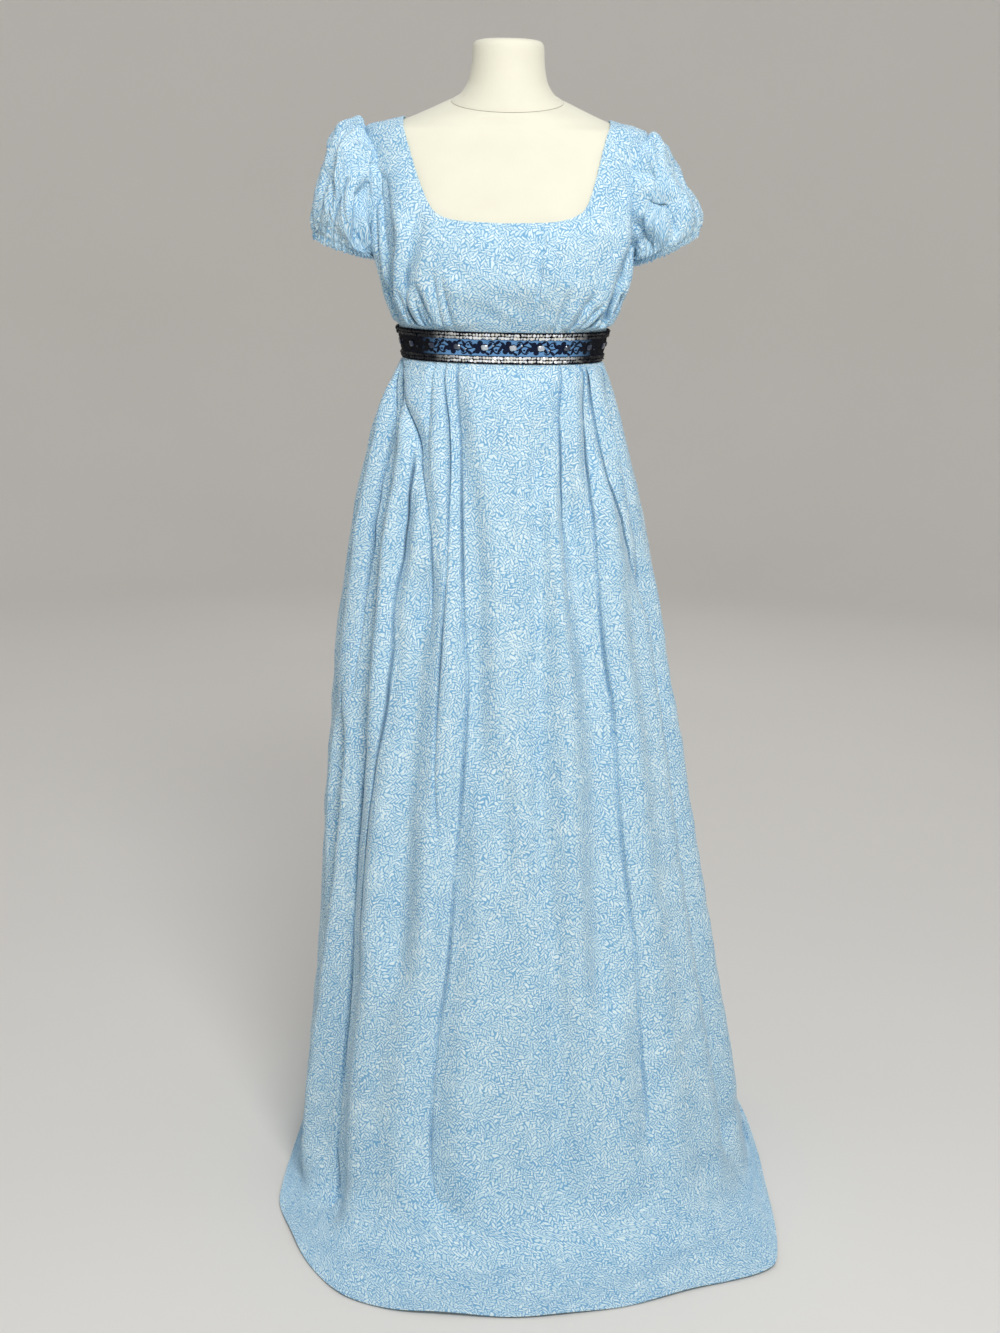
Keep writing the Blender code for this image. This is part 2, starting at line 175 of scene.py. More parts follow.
def foldsOf(folds, places, points, level, place, wraps=False, fade=0.10, facing=None):
    # Each fold has a track of (level, place), then the half width at its top and its end and the depth, first of the
    # narrow slot and then of the soft hollow around it, its lean, and the levels of its top and its end.
    # The result is how far the cloth goes in and how far it goes sideways.
    lengths = rowLengths(points)
    girth = lengths[:, -1:]
    inward, sideways = np.zeros(points.shape[:2]), np.zeros(points.shape[:2])
    for number, (fold, centre) in enumerate(zip(folds, places)):
        turned = facing(centre) if facing else 0.0
        track, slotTop, slotEnd, slotDepth, softTop, softEnd, softDepth, lean, top, end = fold
        middle = np.array([np.interp(c, place, row) for c, row in zip(np.broadcast_to(centre, len(level)), lengths)])
        away = lengths - middle[:, None]
        if wraps:
            away = (away + girth / 2) % girth - girth / 2
        soft = fade if top > end else -fade
        shown = (smoothStep(top, top - soft, level) * smoothStep(end, end + soft, level))[:, None]
        crisp = (smoothStep(top, top - soft / 4, level) * smoothStep(end, end + 1.6 * soft, level))[:, None]
        share = np.clip((level - top) / (end - top), 0.0, 1.0)[:, None]
        uneven = (0.72 + 0.28 * np.sin(2.3 * level / fade + 9.0 * number))[:, None]
        narrow = slotTop + (slotEnd - slotTop) * share + 1e-6
        slot = slotDepth * uneven * (1 - 0.40 * share) * crisp * np.exp(-(away / narrow) ** 2)
        width = softTop + (softEnd - softTop) * share
        hollow = softDepth * shown * np.exp(-(away / width) ** 2)
        bulge = 0.34 * softDepth * shown * np.exp(-((np.abs(away) - 2.0 * width) / width) ** 2)
        inward += slot + hollow - bulge
        sideways += (lean + turned) * slot + 0.4 * lean * hollow
    return inward, sideways


def trackAt(fold, level):
    track = sorted(fold[0])
    return smoothAt([spot[0] for spot in track], [spot[1] for spot in track], level)


def displaced(points, normals, inward, sideways):
    along = np.gradient(points, axis=1)
    along /= np.maximum(np.linalg.norm(along, axis=2), 1e-9)[:, :, None]
    return points - normals * inward[:, :, None] + along * sideways[:, :, None]


def coneUv(points, middleColumn):
    # lays the piece out flat as a sector of a cone, so that the print keeps its size everywhere
    lengths = rowLengths(points)
    across = lengths - lengths[:, middleColumn:middleColumn + 1]
    down = columnLengths(points).mean(axis=1)
    growth = (lengths[-1, -1] - lengths[0, -1]) / down[-1] / max(lengths[0, -1], 0.05)
    apex = 1.0 / max(growth, 0.05)
    reach = (apex + down)[:, None]
    return np.stack([reach * np.sin(across / reach), apex - reach * np.cos(across / reach)], axis=2)


# from points to meshes
def applyModifiers(piece):
    bpy.ops.object.select_all(action="DESELECT")
    bpy.context.view_layer.objects.active = piece
    piece.select_set(True)
    for modifier in list(piece.modifiers):
        bpy.ops.object.modifier_apply(modifier=modifier.name)
    piece.select_set(False)


def gridPiece(name, points, uv, look, closed=False, turned=False):
    rows, columns = points.shape[:2]
    grid = np.arange(rows * columns).reshape(rows, columns)
    corners = np.stack([grid[:-1, :-1], grid[1:, :-1], grid[1:, 1:], grid[:-1, 1:]], axis=-1).reshape(-1, 4)
    if turned:
        corners = corners[:, ::-1]
    verts, ends = points, corners
    if closed:  # the last column is the first one again
        verts = points[:, :-1]
        ends = corners // columns * (columns - 1) + corners % columns % (columns - 1)
    mesh = bpy.data.meshes.new(name)
    mesh.from_pydata(verts.reshape(-1, 3).tolist(), [], ends.tolist())
    if uv is not None:
        layer = mesh.uv_layers.new(name="cloth")
        layer.uv.foreach_set("vector", uv.reshape(-1, 2)[corners.ravel()].ravel().astype(np.float32))
    mesh.materials.append(look)
    piece = bpy.data.objects.new(name, mesh)
    bpy.context.scene.collection.objects.link(piece)
    return piece


def giveWall(piece, thickness):
    wall = piece.modifiers.new("wall", "SOLIDIFY")
    wall.thickness, wall.offset = thickness, -1.0
    applyModifiers(piece)
    piece.data.shade_smooth()
    piece.data.set_sharp_from_angle(angle=math.radians(60))


def cutAway(piece, levelOf, snap=0.0004):
    # trims the sheet along the line where levelOf is 0 and drops what is below it
    shape = bmesh.new()
    shape.from_mesh(piece.data)
    shape.verts.ensure_lookup_table()
    values = levelOf(np.array([vert.co[:] for vert in shape.verts]))
    values[np.abs(values) < snap] = 0.0
    level = dict(zip(shape.verts, values))
    border = [vert for vert in shape.verts if level[vert] == 0.0]
    for edge in [e for e in shape.edges if level[e.verts[0]] * level[e.verts[1]] < 0]:
        start, end = edge.verts
        made = bmesh.utils.edge_split(edge, start, level[start] / (level[start] - level[end]))[1]
        level[made] = 0.0
        border.append(made)
    bmesh.ops.connect_verts(shape, verts=border)
    bmesh.ops.delete(shape, geom=[vert for vert in shape.verts if level[vert] < 0], context="VERTS")
    loose = [face for face in shape.faces if all(level[vert] == 0.0 for vert in face.verts)
             and levelOf(np.array([face.calc_center_median()[:]]))[0] < 0]
    bmesh.ops.delete(shape, geom=loose, context="FACES")
    shape.to_mesh(piece.data)
    shape.free()


def outlineLevel(points, outline):
    # distance to a closed outline, below 0 inside it
    best = np.full(len(points), 9.0)
    inside = np.zeros(len(points), bool)
    for start, end in zip(outline, np.roll(outline, -1, axis=0)):
        side = end - start
        part = np.clip(((points - start) @ side) / max(side @ side, 1e-12), 0.0, 1.0)
        best = np.minimum(best, np.linalg.norm(points - start - part[:, None] * side, axis=1))
        crosses = (start[1] > points[:, 1]) != (end[1] > points[:, 1])
        rise = np.where(crosses, end[1] - start[1], 1.0)
        inside ^= crosses & (points[:, 0] < start[0] + side[0] * (points[:, 1] - start[1]) / rise)
    return np.where(inside, -best, best)


def rounded(line, times=3):
    # takes the corners off an open line, its two ends kept
    line = np.asarray(line, float)
    for _ in range(times):
        cuts = np.stack([0.75 * line[:-1] + 0.25 * line[1:], 0.25 * line[:-1] + 0.75 * line[1:]], axis=1)
        line = np.concatenate([line[:1], cuts.reshape(-1, 2)[1:-1], line[-1:]])
    return line


def armholeLevel(points):
    across = (points[:, 1] - gown["armholeY"]) / gown["armholeHalfDepth"]
    up = (points[:, 2] - gown["armholeZ"]) / gown["armholeHalfHeight"]
    level = (np.hypot(across, up) - 1) * gown["armholeHalfDepth"]
    return np.where(np.abs(points[:, 0]) > 0.13, level, 9.0)


def reportCut(name, points):
    # the size of the sheet laid out flat
    cross = np.cross(points[1:, :-1] - points[:-1, :-1], points[:-1, 1:] - points[:-1, :-1])
    widths = rowLengths(points)[:, -1]
    length, area = columnLengths(points)[-1].mean(), np.linalg.norm(cross, axis=2).sum()
    print(f"{name}: {widths[0]:.3f} wide at the top, {widths.max():.3f} at most, {length:.3f} long, {area:.3f} square metres")


def claim(piece, slot, *nodes):
    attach(piece, "root")
    if nodes:
        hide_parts(*nodes)


# materials
def hexColour(code):
    parts = [int(code[place:place + 2], 16) / 255 for place in (1, 3, 5)]
    return tuple(c / 12.92 if c <= 0.04045 else ((c + 0.055) / 1.055) ** 2.4 for c in parts) + (1.0,)


def addNode(tree, kind, links=None, **settings):
    node = tree.nodes.new(kind)
    for key, value in settings.items():
        setattr(node, key, value)
    for socket, value in (links or {}).items():
        if isinstance(value, bpy.types.Node):
            value = value.outputs[0]
        if isinstance(value, bpy.types.NodeSocket):
            tree.links.new(value, node.inputs[socket])
        else:
            node.inputs[socket].default_value = value
    return node


def newMaterial(name, **sockets):
    look = bpy.data.materials.new(name)
    look.use_nodes = True
    shader = look.node_tree.nodes["Principled BSDF"]
    for socket, value in sockets.items():
        shader.inputs[socket.replace("_", " ")].default_value = value
    return look, look.node_tree, shader


cotton = {
    "leaf": "#E2F3F6", "leafShade": "#C0DDE9", "ground": "#7DB0D4", "groundDeep": "#6AA2CD",
    "sprig": 18.0, "stemSpacing": 11.0, "leafSpacing": 5.3, "leafLength": 8.1, "leafHalfWidth": 1.48,   # mm
    "leafTurn": math.radians(46), "leafBow": 0.85, "stemHalfWidth": 0.24, "swaySize": 17.0, "sway": 9.0, "cloud": 48.0,
}


def paintedFrontLight(tree, middle, closed, opened):
    # a painted-light mask, in metres along the band: 1 over its front, which faces the lamps, and 0 past the places
    # where the trim is painted dark as shade
    flat = addNode(tree, "ShaderNodeUVMap", uv_map="cloth")
    side = addNode(tree, "ShaderNodeSeparateXYZ", {0: flat})
    off = addNode(tree, "ShaderNodeMath", {0: side.outputs[0], 1: middle}, operation="SUBTRACT")
    away = addNode(tree, "ShaderNodeMath", {0: off}, operation="ABSOLUTE")
    return flat, side, addNode(tree, "ShaderNodeMapRange", {0: away, 1: closed, 2: opened})


def makePrintedCotton():
    # plain-woven cotton, screen printed: matt, with sprigs of small pale leaves all over a sky-blue ground
    look, tree, shader = newMaterial("screen_printed_cotton", Roughness=0.88, Sheen_Weight=0.10)
    shader.inputs["Specular IOR Level"].default_value = 0.25

    flat = addNode(tree, "ShaderNodeUVMap", uv_map="cloth")
    print1000 = addNode(tree, "ShaderNodeVectorMath", {0: flat, "Scale": 1000.0}, operation="SCALE")  # mm
    sway = addNode(tree, "ShaderNodeTexNoise", {"Vector": print1000, "Scale": 1 / cotton["swaySize"], "Detail": 1.0},
                   noise_dimensions="2D")
    placed = addNode(tree, "ShaderNodeVectorMath", {0: sway.outputs["Color"], 1: (cotton["sway"],) * 3, 2: print1000},
                     operation="MULTIPLY_ADD")
    cloud = addNode(tree, "ShaderNodeTexNoise", {"Vector": print1000, "Scale": 1 / cotton["cloud"], "Detail": 1.0},
                    noise_dimensions="2D")
    sprigs = addNode(tree, "ShaderNodeTexVoronoi", {"Vector": placed, "Scale": 1 / cotton["sprig"], "Randomness": 1.0},
                     voronoi_dimensions="2D")
    own = addNode(tree, "ShaderNodeSeparateColor", {0: sprigs.outputs["Color"]})
    local = addNode(tree, "ShaderNodeVectorMath", {0: placed, 1: sprigs.outputs["Position"]}, operation="SUBTRACT")
    turn = addNode(tree, "ShaderNodeMath", {0: own.outputs[0], 1: 2 * math.pi}, operation="MULTIPLY")
    turned = addNode(tree, "ShaderNodeVectorRotate", {"Vector": local, "Angle": turn}, rotation_type="Z_AXIS")
    side = addNode(tree, "ShaderNodeSeparateXYZ", {0: turned})
    halfStem, halfLeaf, sine = cotton["stemSpacing"] / 2, cotton["leafSpacing"] / 2, math.sin(cotton["leafTurn"])
    offStem = addNode(tree, "ShaderNodeMath", {0: side.outputs[1], 1: halfStem, 2: -halfStem}, operation="WRAP")
    far = addNode(tree, "ShaderNodeMath", {0: offStem}, operation="ABSOLUTE")
    root = addNode(tree, "ShaderNodeMath", {0: far, 1: -1 / math.tan(cotton["leafTurn"]), 2: side.outputs[0]},
                   operation="MULTIPLY_ADD")
    hand = addNode(tree, "ShaderNodeMath", {0: offStem}, operation="SIGN")
    offset = addNode(tree, "ShaderNodeMath", {0: hand, 1: halfLeaf / 2, 2: root}, operation="MULTIPLY_ADD")
    beside = addNode(tree, "ShaderNodeMath", {0: offset, 1: halfLeaf, 2: -halfLeaf}, operation="WRAP")
    counted = addNode(tree, "ShaderNodeMath", {0: offset, 1: 1 / cotton["leafSpacing"], 2: 0.5}, operation="MULTIPLY_ADD")
    number = addNode(tree, "ShaderNodeMath", {0: counted}, operation="FLOOR")
    sprigNumber = addNode(tree, "ShaderNodeMath", {0: own.outputs[0], 1: 91.0, 2: hand}, operation="MULTIPLY_ADD")
    leafNumber = addNode(tree, "ShaderNodeCombineXYZ", {0: number, 1: sprigNumber})
    chance = addNode(tree, "ShaderNodeTexWhiteNoise", {"Vector": leafNumber}, noise_dimensions="2D")
    chances = addNode(tree, "ShaderNodeSeparateColor", {0: chance.outputs["Color"]})
    length = addNode(tree, "ShaderNodeMapRange", {0: chances.outputs[0], 3: 2.35, 4: 1.85})
    ownFar = addNode(tree, "ShaderNodeMath", {0: far, 1: length}, operation="MULTIPLY")
    share = addNode(tree, "ShaderNodeMath", {0: ownFar, 1: 1 / (cotton["leafLength"] * sine), 2: -1.0},
                    operation="MULTIPLY_ADD")    # -1 to 1 along a leaf
    taper = addNode(tree, "ShaderNodeMath", {0: share, 1: share}, operation="MULTIPLY")
    bowed = addNode(tree, "ShaderNodeMath", {0: taper, 1: cotton["leafBow"], 2: beside}, operation="MULTIPLY_ADD")
    square = addNode(tree, "ShaderNodeMath", {0: bowed, 1: sine}, operation="MULTIPLY")
    across = addNode(tree, "ShaderNodeMath", {0: square}, operation="ABSOLUTE")
    blunt = addNode(tree, "ShaderNodeMath", {0: taper, 1: -0.95, 2: 1.0}, operation="MULTIPLY_ADD")
    fullness = addNode(tree, "ShaderNodeMapRange", {0: cloud, 1: 0.30, 2: 0.65, 3: 0.84, 4: 1.04})
    ownWidth = addNode(tree, "ShaderNodeMapRange", {0: chances.outputs[1], 3: 0.78, 4: 1.22})
    full = addNode(tree, "ShaderNodeMath", {0: blunt, 1: cotton["leafHalfWidth"]}, operation="MULTIPLY")
    grown = addNode(tree, "ShaderNodeMath", {0: full, 1: fullness}, operation="MULTIPLY")
    wide = addNode(tree, "ShaderNodeMath", {0: grown, 1: ownWidth}, operation="MULTIPLY")
    inside = addNode(tree, "ShaderNodeMath", {0: wide, 1: across}, operation="SUBTRACT")    # mm inside the leaf
    stem = addNode(tree, "ShaderNodeMath", {0: cotton["stemHalfWidth"], 1: far}, operation="SUBTRACT")
    shape = addNode(tree, "ShaderNodeMath", {0: inside, 1: stem}, operation="MAXIMUM")
    pale = addNode(tree, "ShaderNodeMapRange", {0: shape, 1: -0.22, 2: 0.22})
    ground = addNode(tree, "ShaderNodeMix", {0: fullness, 6: hexColour(cotton["groundDeep"]),
                                             7: hexColour(cotton["ground"])}, data_type="RGBA")
    leaf = addNode(tree, "ShaderNodeMix", {0: chances.outputs[2], 6: hexColour(cotton["leaf"]),
                                           7: hexColour(cotton["leafShade"])}, data_type="RGBA")
    colour = addNode(tree, "ShaderNodeMix", {0: pale, 6: ground.outputs[2], 7: leaf.outputs[2]}, data_type="RGBA")
    tree.links.new(colour.outputs[2], shader.inputs["Base Color"])
    # the real threads are too fine to show from here, so the weave is drawn 2.2 mm apart
    warp = addNode(tree, "ShaderNodeTexWave", {"Vector": print1000, "Scale": 1 / 6.9, "Distortion": 0.4},
                   bands_direction="X")
    weft = addNode(tree, "ShaderNodeTexWave", {"Vector": print1000, "Scale": 1 / 6.9, "Distortion": 0.4},
                   bands_direction="Y")
    weave = addNode(tree, "ShaderNodeMath", {0: warp, 1: weft}, operation="MULTIPLY")
    crumple = addNode(tree, "ShaderNodeTexNoise", {"Vector": print1000, "Scale": 1 / 16.0, "Detail": 2.5, "Roughness": 0.55},
                      noise_dimensions="2D")
    creased = addNode(tree, "ShaderNodeBump", {"Strength": 0.30, "Distance": 0.0022, "Height": crumple})
    woven = addNode(tree, "ShaderNodeBump", {"Strength": 0.10, "Distance": 0.0003, "Height": weave, "Normal": creased})
    tree.links.new(woven.outputs[0], shader.inputs["Normal"])
    return look


def makeJersey():
    # knitted cotton jersey stretched over a smooth hard form: cream, soft and matt
    look, tree, shader = newMaterial("stretched_cotton_jersey", Roughness=0.82, Sheen_Weight=0.18)
    shader.inputs["Specular IOR Level"].default_value = 0.3
    place = addNode(tree, "ShaderNodeTexCoord")
    patch = addNode(tree, "ShaderNodeTexNoise", {"Vector": place.outputs["Object"], "Scale": 22.0, "Detail": 3.0})
    tone = addNode(tree, "ShaderNodeMix", {0: patch, 6: hexColour("#E2DFCC"), 7: hexColour("#EAE8D6")}, data_type="RGBA")
    tree.links.new(tone.outputs[2], shader.inputs["Base Color"])
    # wales are drawn 1.8 mm apart and courses 1.4 mm
    wales = addNode(tree, "ShaderNodeTexWave", {"Vector": place.outputs["Object"], "Scale": 175.0, "Distortion": 0.6},
                    bands_direction="X")
    courses = addNode(tree, "ShaderNodeTexWave", {"Vector": place.outputs["Object"], "Scale": 225.0, "Distortion": 0.6},
                      bands_direction="Z")
    knit = addNode(tree, "ShaderNodeMath", {0: wales, 1: courses}, operation="MULTIPLY")
    bump = addNode(tree, "ShaderNodeBump", {"Strength": 0.12, "Distance": 0.0003, "Height": knit})
    tree.links.new(bump.outputs[0], shader.inputs["Normal"])
    return look


def makeRibbon():
    # woven velvet-faced ribbon: blue-black pile, with a steel-blue satin ground whose colour is shown only over the
    # front as painted reflection; past the front the ground is painted as dark as the pile, a painted shade
    look, tree, shader = newMaterial("woven_velvet_ribbon", Roughness=0.80)
    shader.inputs["Specular IOR Level"].default_value = 0.15
    flat, side, front = paintedFrontLight(tree, 0.009, 0.122, 0.080)
    low = addNode(tree, "ShaderNodeMapRange", {0: side.outputs[1], 1: 0.0095, 2: 0.0110})
    high = addNode(tree, "ShaderNodeMapRange", {0: side.outputs[1], 1: 0.0335, 2: 0.0320})
    between = addNode(tree, "ShaderNodeMath", {0: low, 1: high}, operation="MULTIPLY")
    satinShownAsPaintedSheen = addNode(tree, "ShaderNodeMath", {0: front, 1: between}, operation="MULTIPLY")
    mottle = addNode(tree, "ShaderNodeTexNoise", {"Vector": flat, "Scale": 420.0, "Detail": 2.0})
    satin = addNode(tree, "ShaderNodeMix", {0: mottle, 6: hexColour("#4A7BB0"), 7: hexColour("#79A7D3")}, data_type="RGBA")
    pile = addNode(tree, "ShaderNodeMix", {0: mottle, 6: hexColour("#030408"), 7: hexColour("#0B1022")}, data_type="RGBA")
    # painted reflection: the satin stripe keeps its colour only over the front, and past it takes the pile colour as
    # painted shade
    tone = addNode(tree, "ShaderNodeMix", {0: satinShownAsPaintedSheen, 6: pile.outputs[2], 7: satin.outputs[2]}, data_type="RGBA")
    tree.links.new(tone.outputs[2], shader.inputs["Base Color"])
    # cut pile stands in tufts 0.6 mm apart
    tufts = addNode(tree, "ShaderNodeTexNoise", {"Vector": flat, "Scale": 1600.0, "Detail": 1.0})
    bump = addNode(tree, "ShaderNodeBump", {"Strength": 0.35, "Distance": 0.0004, "Height": tufts})
    tree.links.new(bump.outputs[0], shader.inputs["Normal"])
    return look


def makeEmbroidery():
    # raised velvet flowers and scrolls, soft and matt: navy in front, and painted near black past it as shade
    look, tree, shader = newMaterial("navy_velvet_applique", Roughness=0.80)
    shader.inputs["Specular IOR Level"].default_value = 0.2
    flat, _, front = paintedFrontLight(tree, 0.009, 0.115, 0.070)
    mottle = addNode(tree, "ShaderNodeTexNoise", {"Vector": flat, "Scale": 500.0, "Detail": 2.0})
    navy = addNode(tree, "ShaderNodeMix", {0: mottle, 6: hexColour("#040914"), 7: hexColour("#0C1C3E")}, data_type="RGBA")
    # painted shade: near black past the front of the band
    tone = addNode(tree, "ShaderNodeMix", {0: front, 6: hexColour("#05070E"), 7: navy.outputs[2]}, data_type="RGBA")
    bump = addNode(tree, "ShaderNodeBump", {"Strength": 0.3, "Distance": 0.0004, "Height": mottle})
    tree.links.new(tone.outputs[2], shader.inputs["Base Color"])
    tree.links.new(bump.outputs[0], shader.inputs["Normal"])
    return look


def makeTinsel():
    # metal-coated plastic spangles of a sequin braid: silver, glossy and a little scuffed; the silver-white over the
    # front is partly a painted glint, and past the front they are painted dark as shade
    look, tree, shader = newMaterial("metallised_sequins", Roughness=0.30, Metallic=0.20)
    flat, _, front = paintedFrontLight(tree, 0.012, 0.105, 0.060)
    cells = addNode(tree, "ShaderNodeTexVoronoi", {"Vector": flat, "Scale": 260.0}, voronoi_dimensions="2D")
    own = addNode(tree, "ShaderNodeSeparateColor", {0: cells.outputs["Color"]})
    metal = addNode(tree, "ShaderNodeMix", {0: own.outputs[0], 6: hexColour("#F4F8FF"), 7: hexColour("#E2E0D6")},
                    data_type="RGBA")
    # painted glint over the front and painted shade past it
    tone = addNode(tree, "ShaderNodeMix", {0: front, 6: hexColour("#080A10"), 7: metal.outputs[2]}, data_type="RGBA")
    tree.links.new(tone.outputs[2], shader.inputs["Base Color"])
    return look


def makeCrystal():
    # foil-backed cut glass: silver-white and sharp in its highlights over the front, and painted a dark blue-grey past
    # it as shade
    look, tree, shader = newMaterial("foiled_cut_glass", Roughness=0.12, Metallic=0.55, Coat_Weight=1.0)
    flat, _, front = paintedFrontLight(tree, 0.012, 0.075, 0.045)
    fleck = addNode(tree, "ShaderNodeTexNoise", {"Vector": flat, "Scale": 420.0, "Detail": 1.0})
    glass = addNode(tree, "ShaderNodeMix", {0: fleck, 6: hexColour("#90A8C0"), 7: hexColour("#FFFFFF")}, data_type="RGBA")
    # painted shade: dark blue-grey past the front of the band
    tone = addNode(tree, "ShaderNodeMix", {0: front, 6: hexColour("#22324C"), 7: glass.outputs[2]}, data_type="RGBA")
    tree.links.new(tone.outputs[2], shader.inputs["Base Color"])
    return look


def makeStandSteel():
    # powder-coated steel: pale grey with a fine orange-peel skin
    look, tree, shader = newMaterial("powder_coated_steel", Roughness=0.42)
    place = addNode(tree, "ShaderNodeTexCoord")
    peel = addNode(tree, "ShaderNodeTexNoise", {"Vector": place.outputs["Object"], "Scale": 380.0, "Detail": 2.0})
    wear = addNode(tree, "ShaderNodeTexNoise", {"Vector": place.outputs["Object"], "Scale": 14.0, "Detail": 4.0})
    tone = addNode(tree, "ShaderNodeMix", {0: wear, 6: hexColour("#C7C6C2"), 7: hexColour("#DEDDD9")}, data_type="RGBA")
    rough = addNode(tree, "ShaderNodeMapRange", {0: wear, 3: 0.34, 4: 0.52})
    bump = addNode(tree, "ShaderNodeBump", {"Strength": 0.2, "Distance": 0.0002, "Height": peel})
    tree.links.new(tone.outputs[2], shader.inputs["Base Color"])
    tree.links.new(rough.outputs[0], shader.inputs["Roughness"])
    tree.links.new(bump.outputs[0], shader.inputs["Normal"])
    return look


printedCotton, jersey, ribbon = makePrintedCotton(), makeJersey(), makeRibbon()
embroidery, tinsel, crystal, standSteel = makeEmbroidery(), makeTinsel(), makeCrystal(), makeStandSteel()
print("materials made")

# dress form
form = {
    "columns": 144, "torsoRow": 0.0075, "shoulder": 1.430, "shoulderRow": 0.0016, "neckRow": 0.0022,
    "seamDip": 0.0012, "seamReach": 0.0022, "neckRadius": 0.065,
    "rim": [1.557, 1.5562, 1.5548, 1.553], "belowRim": 1.551,
    # share of the radius and height, from the middle of the cap outwards
    "cap": ((0.0, 1.5576), (0.10, 1.5574), (0.32, 1.5568), (0.62, 1.5570), (0.86, 1.5573)),
    "pleats": 26, "pleatHeight": 0.0020,
}


def closeForm(name, points, slotNode):
    piece = gridPiece(name, points, None, jersey, closed=True)
    shape = bmesh.new()
    shape.from_mesh(piece.data)
    bmesh.ops.remove_doubles(shape, verts=shape.verts, dist=1e-6)
    bmesh.ops.holes_fill(shape, edges=[edge for edge in shape.edges if edge.is_boundary])
    bmesh.ops.recalc_face_normals(shape, faces=shape.faces)
    shape.to_mesh(piece.data)
    shape.free()
    piece.data.shade_smooth()
    piece.data.set_sharp_from_angle(angle=math.radians(50))
    claim(piece, "form_jersey", slotNode)
    return piece


def withSeam(rings, heights):
    # draws the form in a little along the seam between its torso and its neck
    dip = form["seamDip"] * np.exp(-((bodyRings[-1, 0] - heights) / form["seamReach"]) ** 2)
    rings[:, :, :2] *= (1 - dip / form["neckRadius"])[:, None, None]
    return rings


def makeForm():
    quarters = np.linspace(-2.0, 2.0, form["columns"] + 1)
    bottom, seam, shoulder = bodyRings[0, 0], bodyRings[-1, 0], form["shoulder"]
    heights = np.concatenate([np.arange(seam, shoulder, -form["shoulderRow"]),
                              np.arange(shoulder, bottom, -form["torsoRow"]), [bottom]])
    torso = withSeam(np.array([bodyRing(z, quarters) for z in heights]), heights)
    under = [np.column_stack([torso[-1][:, :2] * part, np.full(len(quarters), bottom)]) for part in (0.97, 0.6, 0.12, 0.0)]
    over = [np.column_stack([torso[0][:, :2] * part, torso[0][:, 2] - 0.0015]) for part in (0.0, 0.5, 0.97)]
    torsoPiece = closeForm("form_torso_cover", np.concatenate([over, torso, under]), "form_torso")

    heights = np.concatenate([form["rim"], np.arange(form["belowRim"], seam, -form["neckRow"]), [seam + 0.0003]])
    neck = withSeam(np.array([bodyRing(z, quarters, neckRings) for z in heights]), heights)
    cap = []
    for part, height in form["cap"]:
        pleat = form["pleatHeight"] * part * (1 - part) * np.cos(quarters * math.pi / 2 * form["pleats"])
        cap.append(np.column_stack([neck[0][:, :2] * part, height + pleat]))
    under = [np.column_stack([neck[-1][:, :2] * part, neck[-1][:, 2] + 0.0005]) for part in (0.97, 0.4, 0.0)]
    closeForm("form_neck_cover", np.concatenate([cap, neck, under]), "form_neck")
    return torsoPiece


torsoCover = makeForm()
for node in ("form_pole", "form_base"):
    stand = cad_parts[node]
    stand.data.materials.clear()
    stand.data.materials.append(standSteel)
print("dress form made")

